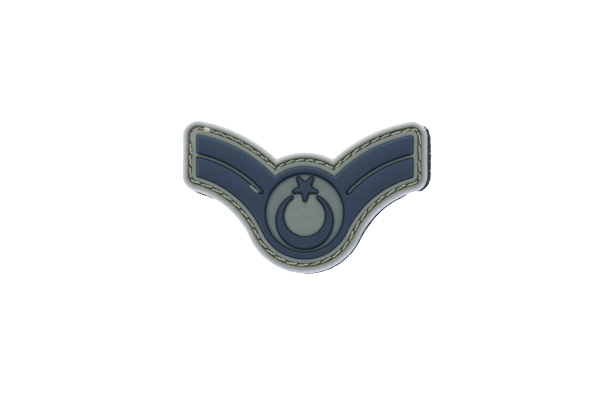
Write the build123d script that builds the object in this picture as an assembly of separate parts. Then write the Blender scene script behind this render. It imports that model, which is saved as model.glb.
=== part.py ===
from build123d import *
import math
import os

os.makedirs("parts", exist_ok=True)

# A soft moulded rank patch. Two wings, each of two curved bars, spring from a
# round medallion that holds a star over a crescent. The body is grey-green, the
# raised emblem navy, and a backing of hook tape is sewn on all round.
# Millimetres. The face looks along +Z and the emblem's top points along +Y. The
# origin lies under the medallion's centre, in the plane of the hook tips.

# Emblem in plan
ring_radius = 13.45         # outside of the ring round the disc
ring_width = 2.45           # navy ring, measured across
wing_centre_x = 37.8        # centre of a wing's arcs, beside the medallion's centre
wing_centre_y = 17.35       # the same centre, below the medallion's centre
wing_width = 12.3           # both bars and their slot, measured across
wing_reach = 31.1           # the navy ends of the wings, from the medallion's centre
wing_corner_radius = 0.48
upper_bar_width = 5.8
slot_width = 0.6            # slot between the two bars of a wing
slot_stop = 0.15            # how far a slot ends short of the ring
slot_mouth_radius = 0.45    # corners of the bars where a slot opens
notch_radius = 0.5          # inner corner where a wing meets the ring

# Border round the emblem, from the navy edge outward
lip_width = 1.0
channel_width = 1.1         # sunk channel that the seam lies in
rim_width = 1.8
rim_crest = 0.1             # flat top of the rim between its two rounded edges
rim_inner_round = 0.3
lip_round = 0.3

# Crescent, horns up: an open ring that is thicker below
crescent_inset = 2.7        # its outer radius is this much less than the disc's
crescent_foot_gap = 0.43    # from its foot to the ring round the disc
crescent_belly = 3.84       # its width at the foot
crescent_neck = 1.06        # the width that it would have if it closed at the top

# Star, one arm pointing down
star_arms = 5
star_reach = 3.98           # from its centre to the round end of an arm
star_tip_radius = 0.62
star_ring_gap = 0.32        # from its upper arms to the ring round the disc
star_horn_gap = 0.6         # from its side arms to the crescent's horns
star_waist = 1.95           # from its centre to the corner between two arms
star_corner_radius = 0.22

# Levels of the moulding, above its own back
channel_floor = 1.2
disc_floor = 1.5
slot_floor = 1.9
lip_level = 2.05
rim_level = 2.4
chevron_level = 2.65        # top of the bars and the ring
figure_level = 2.4          # top of the crescent and the star
pocket_depth = 0.4          # how far the navy pieces are let in below the disc
relief_round = 0.4          # rounded top edges of the navy pieces

# Hook tape
tape_ground = 0.5
hook_height = 1.1
tape_inset = 0.2            # how far the tape stays inside the moulding's outline
tape_shift = 0.35           # the tape was sewn on a little to the right
tape_overhang = 1.15        # how far it sticks out at the right end
tape_corner_radius = 5.2

# Clearances
side_gap = 0.04             # round each navy piece
seat_gap = 0.02             # under each navy piece, and between the moulding and the tape

# Sizes that follow from these
border = lip_width + channel_width + rim_width
disc_radius = ring_radius - ring_width
wing_distance = math.hypot(wing_centre_x, wing_centre_y)
wing_lower_radius = wing_distance - ring_radius
wing_upper_radius = wing_lower_radius + wing_width
slot_radius = wing_upper_radius - upper_bar_width - slot_width / 2
crescent_outer_radius = disc_radius - crescent_inset
crescent_inner_radius = crescent_outer_radius - (crescent_belly + crescent_neck) / 2
crescent_outer_y = crescent_foot_gap + crescent_outer_radius - disc_radius
crescent_inner_y = crescent_outer_y + (crescent_belly - crescent_neck) / 2
crescent_middle_y = (crescent_outer_y + crescent_inner_y) / 2
tip_distance = star_reach - star_tip_radius
rim_outer_round = min(rim_width - rim_inner_round - rim_crest, rim_level)
pocket_floor = disc_floor - pocket_depth
tape_thickness = tape_ground + hook_height
moulding_back = tape_thickness + seat_gap

LEFT = -1
RIGHT = 1
NEAR = 1e-6                 # two points this close are the same point


# Points and arcs in plan

def toward(centre, radius, point):
    """The point of a circle that lies in the direction of another point."""
    away = math.dist(centre, point)
    return (
        centre[0] + radius * (point[0] - centre[0]) / away,
        centre[1] + radius * (point[1] - centre[1]) / away,
    )


def arc(centre, radius, start, end):
    """The shorter arc of a circle between two of its points."""
    chord_middle = ((start[0] + end[0]) / 2, (start[1] + end[1]) / 2)
    return ThreePointArc(start, toward(centre, radius, chord_middle), end)


def wing_centre(side):
    """Centre of the arcs of the left or the right wing."""
    return (side * wing_centre_x, -wing_centre_y)


def wing_point(side, radius, reach):
    """The point of a wing's arc at a distance from the middle of the patch."""
    height = math.sqrt(radius**2 - (reach - wing_centre_x) ** 2)
    return (side * reach, height - wing_centre_y)


def ring_crossing(side, radius, ring):
    """Where a wing's arc crosses, from above, a circle about the medallion's centre."""
    along = (wing_distance**2 + ring**2 - radius**2) / (2 * wing_distance)
    across = math.sqrt(ring**2 - along**2)
    x = (along * wing_centre_x + across * wing_centre_y) / wing_distance
    y = (across * wing_centre_x - along * wing_centre_y) / wing_distance
    return (side * x, y)


def corners_at(plan, points):
    """The vertices of a plan that lie on any of some points."""
    return [v for v in plan.vertices() if any(math.dist((v.X, v.Y), p) < NEAR for p in points)]


# Outlines in plan

def emblem_plan(margin, reach_left, reach_right, corner_radius):
    """The emblem's outline moved outward by a margin, with the reach of each wing."""
    ring = ring_radius + margin
    lower_radius = wing_lower_radius - margin
    upper_radius = wing_upper_radius + margin
    edges = []
    tangents = []
    notches = []
    ends = []
    for side, reach in ((LEFT, reach_left), (RIGHT, reach_right)):
        centre = wing_centre(side)
        tangent = toward((0, 0), ring, centre)
        notch = ring_crossing(side, upper_radius, ring)
        low_end = wing_point(side, lower_radius, reach)
        high_end = wing_point(side, upper_radius, reach)
        edges.append(arc(centre, lower_radius, tangent, low_end))
        edges.append(Line(low_end, high_end))
        edges.append(arc(centre, upper_radius, high_end, notch))
        tangents.append(tangent)
        notches.append(notch)
        ends += [low_end, high_end]
    edges.append(arc((0, 0), ring, *notches))
    edges.append(arc((0, 0), ring, *tangents))
    plan = make_face(edges)
    plan = fillet(corners_at(plan, ends), corner_radius)
    return fillet(corners_at(plan, notches), notch_radius)


def border_plan(margin):
    """One line of the border, the same distance from the navy edge all round."""
    reach = wing_reach + margin
    return emblem_plan(margin, reach, reach, wing_corner_radius + margin)


def slot_plan(side):
    """A wing's slot, from its round end by the ring out past the wing's end."""
    inner_end = ring_crossing(side, slot_radius, ring_radius + slot_stop + slot_width / 2)
    outer_end = wing_point(side, slot_radius, wing_reach + slot_width)
    return SlotArc(arc(wing_centre(side), slot_radius, inner_end, outer_end), slot_width)


def chevron_plan():
    """The bars and the ring, with the disc and the slots cut out."""
    plan = border_plan(0) - Circle(disc_radius)
    mouths = []
    for side in (LEFT, RIGHT):
        plan -= slot_plan(side)
        for edge_radius in (slot_radius - slot_width / 2, slot_radius + slot_width / 2):
            mouths.append(wing_point(side, edge_radius, wing_reach))
    return fillet(corners_at(plan, mouths), slot_mouth_radius)


def star_turn(arm):
    """Direction of one arm of the star, counted round from the arm that points down."""
    return 2 * math.pi * arm / star_arms - math.pi / 2


def star_height():
    """The star's centre, set so that no arm comes nearer to the ring than the gap."""
    limit = disc_radius - star_ring_gap - star_tip_radius
    heights = []
    for arm in range(star_arms):
        x = tip_distance * math.cos(star_turn(arm))
        y = tip_distance * math.sin(star_turn(arm))
        heights.append(math.sqrt(limit**2 - x**2) - y)
    return min(heights)


def star_point(along, across, arm):
    """A point given in an arm's own frame, along and across the arm."""
    turn = star_turn(arm)
    return (
        along * math.cos(turn) - across * math.sin(turn),
        star_height() + along * math.sin(turn) + across * math.cos(turn),
    )


def star_plan():
    """A star with straight-sided arms that end in arcs."""
    half_turn = math.pi / star_arms
    waist_along = star_waist * math.cos(half_turn)
    waist_across = star_waist * math.sin(half_turn)
    # An arm's side runs from the corner beside it and touches the circle of its round end
    to_tip = math.hypot(tip_distance - waist_along, waist_across)
    lean = math.asin(star_tip_radius / to_tip) - math.atan2(waist_across, tip_distance - waist_along)
    shoulder_along = tip_distance - star_tip_radius * math.sin(lean)
    shoulder_across = star_tip_radius * math.cos(lean)
    edges = []
    waists = []
    for arm in range(star_arms):
        near_waist = star_point(waist_along, -waist_across, arm)
        near_shoulder = star_point(shoulder_along, -shoulder_across, arm)
        tip = star_point(star_reach, 0, arm)
        far_shoulder = star_point(shoulder_along, shoulder_across, arm)
        far_waist = star_point(waist_along, waist_across, arm)
        edges.append(Line(near_waist, near_shoulder))
        edges.append(ThreePointArc(near_shoulder, tip, far_shoulder))
        edges.append(Line(far_shoulder, far_waist))
        waists.append(near_waist)
    plan = make_face(edges)
    return fillet(corners_at(plan, waists), star_corner_radius)


def horn_end(angle):
    """Centre and radius of the circle that touches both edges of the crescent at an angle."""
    # The centres of all such circles lie on an ellipse about the centres of the two edges
    half_height = (crescent_outer_radius + crescent_inner_radius) / 2
    half_spread = (crescent_inner_y - crescent_outer_y) / 2
    half_breadth = math.sqrt(half_height**2 - half_spread**2)
    centre_y = crescent_middle_y + half_height * math.cos(angle)
    centre = (half_breadth * math.sin(angle), centre_y)
    return centre, crescent_outer_radius - math.dist((0, crescent_outer_y), centre)


def star_clearance(angle):
    """The gap between the star and a horn that ends at an angle from straight up."""
    centre, radius = horn_end(angle)
    tips = [star_point(tip_distance, 0, arm) for arm in range(star_arms)]
    return min(math.dist(centre, tip) for tip in tips) - star_tip_radius - radius


def horn_angle():
    """The angle from straight up at which a horn ends at its gap from the star."""
    side_tip = star_point(tip_distance, 0, 1)
    near_star = math.atan2(side_tip[0], side_tip[1] - crescent_middle_y)
    far_away = math.pi / 2
    for _ in range(50):
        angle = (near_star + far_away) / 2
        if star_clearance(angle) < star_horn_gap:
            near_star = angle
        else:
            far_away = angle
    return far_away


def crescent_plan():
    """An open ring, thicker below, whose horns end in arcs that touch both its edges."""
    outer_centre = (0, crescent_outer_y)
    inner_centre = (0, crescent_inner_y)
    (horn_x, horn_y), horn_radius = horn_end(horn_angle())
    outer_points = []
    inner_points = []
    edges = []
    for side in (LEFT, RIGHT):
        horn = (side * horn_x, horn_y)
        outer_point = toward(outer_centre, crescent_outer_radius, horn)
        inner_point = toward(inner_centre, crescent_inner_radius, horn)
        # The horn's tip lies square to the line across the horn
        across_x = outer_point[0] - inner_point[0]
        across_y = outer_point[1] - inner_point[1]
        tip_side = (horn[0] - side * across_y, horn[1] + side * across_x)
        edges.append(ThreePointArc(outer_point, toward(horn, horn_radius, tip_side), inner_point))
        outer_points.append(outer_point)
        inner_points.append(inner_point)
    outer_foot = (0, crescent_outer_y - crescent_outer_radius)
    inner_foot = (0, crescent_inner_y - crescent_inner_radius)
    edges.append(ThreePointArc(outer_points[0], outer_foot, outer_points[1]))
    edges.append(ThreePointArc(inner_points[0], inner_foot, inner_points[1]))
    return make_face(edges)


# Solids

def prism(plan, low, high):
    """A plan raised between two levels."""
    return extrude(Pos(0, 0, low) * plan, amount=high - low, dir=(0, 0, 1))


def round_top(solid, level, radius):
    """Round every edge of a solid that lies at a level."""
    return fillet(solid.edges().filter_by_position(Axis.Z, level, level), radius)


def hook_backing():
    """The hook tape, from the hook tips up to the back of its woven ground."""
    margin = border - tape_inset
    reach_left = wing_reach + margin
    reach_right = wing_reach + border + tape_overhang - tape_shift
    plan = emblem_plan(margin, reach_left, reach_right, tape_corner_radius)
    return Pos(tape_shift, 0, 0) * prism(plan, 0, tape_thickness)


def moulded_base():
    """Rim, stitch channel, lip and disc, with pockets for the navy pieces."""
    body = round_top(prism(border_plan(border), 0, rim_level), rim_level, rim_outer_round)
    body -= prism(border_plan(lip_width + channel_width), channel_floor, rim_level)
    crest = body.faces().sort_by(Axis.Z)[-1]
    body = fillet(crest.inner_wires()[0].edges(), rim_inner_round)
    lip = prism(border_plan(lip_width), channel_floor, lip_level)
    body += round_top(lip, lip_level, lip_round)
    body -= prism(border_plan(side_gap), slot_floor, lip_level)
    body -= prism(Circle(disc_radius), disc_floor, slot_floor)
    for plan in (chevron_plan(), crescent_plan(), star_plan()):
        body -= prism(offset(plan, side_gap), pocket_floor, slot_floor)
    return Pos(0, 0, moulding_back) * body


def chevron_relief():
    """The navy bars and ring, in one piece."""
    solid = prism(chevron_plan(), pocket_floor + seat_gap, chevron_level)
    return Pos(0, 0, moulding_back) * round_top(solid, chevron_level, relief_round)


def crescent_relief():
    """The navy crescent."""
    solid = prism(crescent_plan(), pocket_floor + seat_gap, figure_level)
    return Pos(0, 0, moulding_back) * round_top(solid, figure_level, relief_round)


def star_relief():
    """The navy star."""
    solid = prism(star_plan(), pocket_floor + seat_gap, figure_level)
    return Pos(0, 0, moulding_back) * round_top(solid, figure_level, relief_round)


for piece in (hook_backing, moulded_base, chevron_relief, crescent_relief, star_relief):
    export_step(piece(), f"parts/{piece.__name__}.step")
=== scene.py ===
"""Looks of a soft moulded rank patch with a sewn border and a hook tape backing.

The face looks along +Z, the emblem's top points along +Y, and the hook tips stand
on the plane Z = 0. Every size here is in millimetres, as in the part's source, and
a draft turns it into metres when it becomes a mesh.
"""
import logging
import math
import random
from bisect import bisect_right
from collections.abc import Callable, Sequence
from dataclasses import dataclass, field, replace
from enum import Enum
from functools import cached_property
from typing import ClassVar, NamedTuple

import bmesh
import bpy
from mathutils import Matrix, Vector, noise
from mathutils.geometry import tessellate_polygon


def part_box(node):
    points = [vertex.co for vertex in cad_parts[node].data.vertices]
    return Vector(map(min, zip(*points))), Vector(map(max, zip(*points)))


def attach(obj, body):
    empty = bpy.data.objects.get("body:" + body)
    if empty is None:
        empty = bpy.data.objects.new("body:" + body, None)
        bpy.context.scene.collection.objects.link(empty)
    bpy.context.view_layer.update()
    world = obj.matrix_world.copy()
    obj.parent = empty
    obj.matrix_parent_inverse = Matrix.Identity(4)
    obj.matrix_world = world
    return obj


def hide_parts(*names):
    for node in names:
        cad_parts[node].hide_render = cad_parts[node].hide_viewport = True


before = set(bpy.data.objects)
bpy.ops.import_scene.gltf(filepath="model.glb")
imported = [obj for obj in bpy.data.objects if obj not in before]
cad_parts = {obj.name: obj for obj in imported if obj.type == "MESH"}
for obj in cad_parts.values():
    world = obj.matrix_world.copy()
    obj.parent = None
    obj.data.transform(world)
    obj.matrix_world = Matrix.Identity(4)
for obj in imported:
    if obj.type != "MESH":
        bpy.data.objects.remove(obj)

MM = 0.001
SEED = 20
TINY = 1e-6
Point = tuple[float, float]
Loop = list[Point]
Colour = tuple[float, float, float]
Socket = bpy.types.NodeSocket
# Needle holes gathered by whole millimetre, each with its place and width
Pits = dict[tuple[int, int], list[tuple[Point, float]]]

log = logging.getLogger("rank_patch")


# Lines in plan

class Bend(Enum):
    """Which way a leg of an outline turns."""

    LEFT = 1
    RIGHT = -1
    STRAIGHT = 0


@dataclass(frozen=True)
class Leg:
    """One arc or straight of an outline, which ends where the next leg starts."""

    start: Point
    bend: Bend
    centre: Point = (0.0, 0.0)

    def sweep(self, end: Point) -> float:
        """Return the signed angle that an arc turns through on its way to its end."""
        first = math.atan2(self.start[1] - self.centre[1], self.start[0] - self.centre[0])
        last = math.atan2(end[1] - self.centre[1], end[0] - self.centre[0])
        return self.bend.value * ((self.bend.value * (last - first)) % math.tau)

    def length(self, end: Point) -> float:
        """Return how far the leg runs."""
        if self.bend is Bend.STRAIGHT:
            return math.dist(self.start, end)
        return abs(self.sweep(end)) * math.dist(self.start, self.centre)

    def points(self, end: Point, count: int) -> Loop:
        """Divide the leg evenly.

        Args:
            end: Where the leg ends.
            count: How many points to give, the first at the start and none at the end.

        Returns:
            The points in order.
        """
        shares = [step / count for step in range(count)]
        x, y = self.start
        if self.bend is Bend.STRAIGHT:
            return [(x + (end[0] - x) * t, y + (end[1] - y) * t) for t in shares]
        sweep = self.sweep(end)
        arm = Vector((x - self.centre[0], y - self.centre[1]))
        spokes = [arm @ Matrix.Rotation(-sweep * t, 2) for t in shares]
        return [(self.centre[0] + spoke.x, self.centre[1] + spoke.y) for spoke in spokes]


def leg_ends(legs: Sequence[Leg], end: Point) -> list[Point]:
    """Return where each leg ends, the last one at the given end."""
    return [leg.start for leg in legs[1:]] + [end]


def leg_counts(legs: Sequence[Leg], end: Point, spacing: float) -> list[int]:
    """Return into how many steps each leg is divided at a spacing."""
    ends = leg_ends(legs, end)
    return [max(4, math.ceil(leg.length(stop) / spacing)) for leg, stop in zip(legs, ends)]


def walk(legs: Sequence[Leg], end: Point, counts: Sequence[int]) -> Loop:
    """Return the points along some legs, without the end of the last one."""
    line: Loop = []
    for leg, stop, count in zip(legs, leg_ends(legs, end), counts):
        line += leg.points(stop, count)
    return line


def beyond(centre: Point, distance: float, other: Point) -> Point:
    """Return the point at a distance from a centre, in the direction of another point."""
    away = math.dist(centre, other)
    return (
        centre[0] + distance * (other[0] - centre[0]) / away,
        centre[1] + distance * (other[1] - centre[1]) / away,
    )


def smooth(share: float) -> float:
    """Ease a share from 0 to 1, held at both ends."""
    share = min(max(share, 0.0), 1.0)
    return share * share * (3 - 2 * share)


def wave(x: float, y: float, size: float, layer: float) -> float:
    """Return a slow random swing between -1 and 1, whose waves are about a size in millimetres.

    Args:
        x: The place's X.
        y: The place's Y.
        size: The waves' size.
        layer: Any number. Different layers swing differently.

    Returns:
        The swing.
    """
    return noise.noise(Vector((x / size, y / size, layer)))


class Track:
    """A closed line that things are placed along by distance."""

    def __init__(self, loop: Loop) -> None:
        """Measure a closed line.

        Args:
            loop: Its points in order.
        """
        self.loop = loop
        self.marks = [0.0]
        for here, there in zip(loop, loop[1:] + loop[:1]):
            self.marks.append(self.marks[-1] + math.dist(here, there))
        self.length = self.marks[-1]

    def place(self, along: float, aside: float = 0.0) -> tuple[Point, Point]:
        """Find a place beside the line.

        Args:
            along: Distance from the line's start.
            aside: Distance to the right of the line, which is outward.

        Returns:
            The point, and the line's direction there.
        """
        along %= self.length
        index = min(bisect_right(self.marks, along) - 1, len(self.loop) - 1)
        here = self.loop[index]
        there = self.loop[(index + 1) % len(self.loop)]
        step = math.dist(here, there)
        share = (along - self.marks[index]) / step
        way = ((there[0] - here[0]) / step, (there[1] - here[1]) / step)
        x = here[0] + (there[0] - here[0]) * share + way[1] * aside
        y = here[1] + (there[1] - here[1]) * share - way[0] * aside
        return (x, y), way

    def nearest(self, point: Point) -> float:
        """Return how far along the line its nearest corner to a point lies."""
        index = min(range(len(self.loop)), key=lambda i: math.dist(self.loop[i], point))
        return self.marks[index]

    def beside(self, point: Point) -> float:
        """Return how far to the right of the line a point lies."""
        (x, y), way = self.place(self.nearest(point))
        return (point[0] - x) * way[1] - (point[1] - y) * way[0]


@dataclass(frozen=True)
class Contour:
    """One line round the emblem: how far out it lies and how tightly it turns."""

    margin: float
    reach: float
    corner: float
    notch: float
    mouth: float = 0.0
    slot_half: float = 0.0


@dataclass(frozen=True)
class Emblem:
    """Plan of the whole emblem: two wings of two bars each, and the medallion between them."""

    ring_radius: float = 13.45
    disc_radius: float = 11.0
    wing_centre: Point = (37.8, -17.35)
    wing_width: float = 12.3
    wing_reach: float = 31.1
    corner_radius: float = 0.48
    navy_corner: float = 0.75
    notch_radius: float = 0.5
    upper_bar_width: float = 5.7
    slot_width: float = 0.7
    slot_stop: float = -0.2
    mouth_radius: float = 0.85
    spacing: float = 0.2
    least_radius: float = 0.03
    lip_lap: float = 0.15
    border_rise: float = 0.1
    rise_width: float = 0.4
    middle_margin: float = 1.55

    @property
    def low_radius(self) -> float:
        """Radius of a wing's lower edge."""
        return math.hypot(*self.wing_centre) - self.ring_radius

    @property
    def high_radius(self) -> float:
        """Radius of a wing's upper edge."""
        return self.low_radius + self.wing_width

    @property
    def slot_radius(self) -> float:
        """Radius of the middle of a wing's slot."""
        return self.high_radius - self.upper_bar_width - self.slot_width / 2

    def crossing(self, wing: float, ring: float) -> Point:
        """Return the upper point that lies at one distance from a wing's centre and one from the middle.

        Args:
            wing: Distance from the wing's centre.
            ring: Distance from the medallion's centre.

        Returns:
            The point.
        """
        span = math.hypot(*self.wing_centre)
        x, y = self.wing_centre
        along = (span**2 + ring**2 - wing**2) / (2 * span)
        across = math.sqrt(ring**2 - along**2)
        return ((along * x - across * y) / span, (across * x + along * y) / span)

    def over(self, x: float, distance: float) -> Point:
        """Return the point above the wing's centre with an x and a distance from that centre."""
        rise = math.sqrt(distance**2 - (x - self.wing_centre[0]) ** 2)
        return (x, self.wing_centre[1] + rise)

    def end_legs(self, contour: Contour) -> list[Leg]:
        """Return the legs up a wing's end, in and out of its slot where the line has one.

        Args:
            contour: Which line.

        Returns:
            The legs in order, or none where the line passes the slot by.
        """
        wing = self.wing_centre
        if not contour.slot_half:
            return []
        low_wall = self.slot_radius - contour.slot_half
        high_wall = self.slot_radius + contour.slot_half
        bottom = self.crossing(self.slot_radius, self.ring_radius + self.slot_stop + self.slot_width / 2)
        low_mouth = self.over(contour.reach - contour.mouth, low_wall - contour.mouth)
        high_mouth = self.over(contour.reach - contour.mouth, high_wall + contour.mouth)
        return [
            Leg((contour.reach, low_mouth[1]), Bend.LEFT, low_mouth),
            Leg(beyond(wing, low_wall, low_mouth), Bend.LEFT, wing),
            Leg(beyond(wing, low_wall, bottom), Bend.RIGHT, bottom),
            Leg(beyond(wing, high_wall, bottom), Bend.RIGHT, wing),
            Leg(beyond(wing, high_wall, high_mouth), Bend.LEFT, high_mouth),
            Leg((contour.reach, high_mouth[1]), Bend.STRAIGHT),
        ]

    def half_legs(self, contour: Contour) -> list[Leg]:
        """Lay out the right half of a line, from its lowest point up to its highest.

        Args:
            contour: Which line.

        Returns:
            The legs in order.
        """
        middle = (0.0, 0.0)
        wing = self.wing_centre
        ring = self.ring_radius + contour.margin
        low = self.low_radius - contour.margin
        high = self.high_radius + contour.margin
        inset = contour.reach - contour.corner
        low_corner = self.over(inset, low + contour.corner)
        high_corner = self.over(inset, high - contour.corner)
        notch = self.crossing(high + contour.notch, ring + contour.notch)
        return [
            Leg((0.0, -ring), Bend.LEFT, middle),
            Leg(beyond(middle, ring, wing), Bend.RIGHT, wing),
            Leg(beyond(wing, low, low_corner), Bend.LEFT, low_corner),
            Leg((contour.reach, low_corner[1]), Bend.STRAIGHT),
            *self.end_legs(contour),
            Leg((contour.reach, high_corner[1]), Bend.LEFT, high_corner),
            Leg(beyond(wing, high, high_corner), Bend.LEFT, wing),
            Leg(beyond(wing, high, notch), Bend.RIGHT, notch),
            Leg(beyond(middle, ring, notch), Bend.LEFT, middle),
        ]

    def loop(self, right: Contour, left: Contour, like: Contour) -> Loop:
        """Join two halves into a closed line that runs anticlockwise from its lowest point.

        Args:
            right: The line on the right half.
            left: The line on the left half, given as if it lay on the right.
            like: The line whose lengths say into how many steps each leg is divided.

        Returns:
            The points in order.
        """
        counts = leg_counts(self.half_legs(like), (0.0, self.ring_radius + like.margin), self.spacing)
        top = (0.0, self.ring_radius + right.margin)
        right_side = walk(self.half_legs(right), top, counts)
        left_side = walk(self.half_legs(left), top, counts)
        return right_side + [top] + [(-x, y) for x, y in reversed(left_side[1:])]

    def border(self, margin: float) -> Contour:
        """Return the line at a margin outside the navy edge."""
        reach = self.wing_reach + margin
        corner = max(self.corner_radius + self.lip_lap + margin, self.navy_corner)
        return Contour(margin, reach, corner, self.notch_radius)

    @property
    def pattern(self) -> Contour:
        """The border's middle line, which says how finely every line round the emblem is divided."""
        return self.border(self.middle_margin)

    def border_loop(self, margin: float) -> Loop:
        """Return the closed line at a margin outside the navy edge. The border lies a little high."""
        line = self.border(margin)
        rise = self.border_rise * smooth(margin / self.rise_width)
        return [(x, y + rise) for x, y in self.loop(line, line, self.pattern)]

    def bars(self, inset: float) -> Contour:
        """Return the line at an inset from the edge of the navy bars, which the lip laps a little."""
        return Contour(
            -inset - self.lip_lap,
            self.wing_reach - inset - self.lip_lap,
            max(self.navy_corner - inset, self.least_radius),
            self.notch_radius + inset,
            max(self.mouth_radius - inset, self.least_radius),
            self.slot_width / 2 + inset,
        )

    def bars_loop(self, inset: float) -> Loop:
        """Return the closed line at an inset from the edge of the navy bars and ring."""
        line = self.bars(inset)
        return self.loop(line, line, self.bars(0.0))


def circle(radius: float, count: int) -> Loop:
    """Return the points of a circle about the medallion's centre."""
    turns = [math.tau * step / count for step in range(count)]
    return [(radius * math.cos(turn), radius * math.sin(turn)) for turn in turns]


# Meshes

class MeshDraft:
    """Points and faces of one piece, gathered in millimetres."""

    def __init__(self) -> None:
        """Start an empty draft."""
        self.points: list[tuple[float, float, float]] = []
        self.faces: list[tuple[int, ...]] = []
        self.tones: list[float] = []

    def ring(self, points: Sequence[Sequence[float]], tone: float | list[float] = 0.0) -> list[int]:
        """Add points.

        Args:
            points: Points in space, in order.
            tone: What the finish reads at these points, from -1 to 1: one number for all, or one each.

        Returns:
            Their numbers.
        """
        first = len(self.points)
        self.points += [tuple(point) for point in points]
        self.tones += tone if isinstance(tone, list) else [tone] * len(points)
        return list(range(first, len(self.points)))

    def bridge(self, low: Sequence[int], high: Sequence[int], closed: bool = True) -> None:
        """Join two rows of points, of equal number, with a band of faces."""
        count = len(low)
        for i in range(count if closed else count - 1):
            j = (i + 1) % count
            self.faces.append((low[i], low[j], high[j], high[i]))

    def stack(self, rings: Sequence[Sequence[int]]) -> None:
        """Join each closed row of points with the next one."""
        for low, high in zip(rings, rings[1:]):
            self.bridge(low, high)

    def cap(self, *rings: Sequence[int]) -> None:
        """Close a flat opening whose first ring is its outside and whose other rings are holes."""
        lines = [[Vector(self.points[i]) for i in ring] for ring in rings]
        numbers = [i for ring in rings for i in ring]
        for triangle in tessellate_polygon(lines):
            self.faces.append(tuple(numbers[corner] for corner in triangle))

    def fan(self, ring: Sequence[int], tip: Sequence[float], tone: float = 0.0) -> None:
        """Close an opening with triangles that meet at a tip."""
        (peak,) = self.ring([tip], tone)
        for i, here in enumerate(ring):
            self.faces.append((here, ring[(i + 1) % len(ring)], peak))

    def tube(
        self,
        path: Sequence[Vector],
        width: Callable[[int, float], float],
        sides: int,
        shade: Callable[[int, float], float] | None = None,
    ) -> None:
        """Add a closed tube that follows a path.

        Args:
            path: The points of its middle line.
            width: Gives the radius at a path point's number and an angle round the tube.
            sides: How many sides the tube has.
            shade: Gives the tone in the same way, or None for a tone of 0.
        """
        rings = []
        across = Vector((0.0, 0.0, 1.0)).cross(path[1] - path[0])
        if across.length < TINY:
            across = Vector((1.0, 0.0, 0.0))
        angles = [math.tau * side / sides for side in range(sides)]
        for i, centre in enumerate(path):
            way = (path[min(i + 1, len(path) - 1)] - path[max(i - 1, 0)]).normalized()
            across = (across - way * across.dot(way)).normalized()
            up = way.cross(across)
            spokes = [across * math.cos(angle) + up * math.sin(angle) for angle in angles]
            ring = [centre + spoke * width(i, angle) for spoke, angle in zip(spokes, angles)]
            rings.append(self.ring(ring, [shade(i, angle) for angle in angles] if shade else 0.0))
        self.stack(rings)
        self.fan(rings[0], path[0])
        self.fan(rings[-1], path[-1])

    def stamp(self, points: Sequence[Vector], faces: Sequence[tuple[int, ...]], place: Matrix) -> None:
        """Add a copy of a small mesh, moved and turned by a matrix."""
        first = len(self.points)
        self.ring([place @ point for point in points])
        self.faces += [tuple(first + i for i in face) for face in faces]

    def build(self, name: str, sharp: float = 50.0) -> bpy.types.Object:
        """Make the object.

        Args:
            name: The piece's name.
            sharp: Edges that bend by more than this many degrees stay sharp.

        Returns:
            The object, linked to the scene.
        """
        mesh = bpy.data.meshes.new(name)
        mesh.from_pydata([[MM * value for value in point] for point in self.points], [], self.faces)
        tones = mesh.attributes.new("tone", "FLOAT", "POINT")
        tones.data.foreach_set("value", self.tones)
        work = bmesh.new()
        work.from_mesh(mesh)
        bmesh.ops.recalc_face_normals(work, faces=work.faces)
        work.to_mesh(mesh)
        work.free()
        mesh.shade_smooth()
        mesh.set_sharp_from_angle(angle=math.radians(sharp))
        piece = bpy.data.objects.new(name, mesh)
        bpy.context.scene.collection.objects.link(piece)
        return piece


def settle(piece: bpy.types.Object, finish: "Finish", slot: str, *nodes: str) -> None:
    """Give a piece its finish, its body and its place in the frame.

    Args:
        piece: The piece.
        finish: What it is made of.
        slot: The record's material slot. It is not used.
        nodes: The CAD nodes that it stands for.
    """
    piece.data.materials.append(finish.material())
    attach(piece, "root")
    if nodes:
        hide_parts(*nodes)


# Finishes

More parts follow.
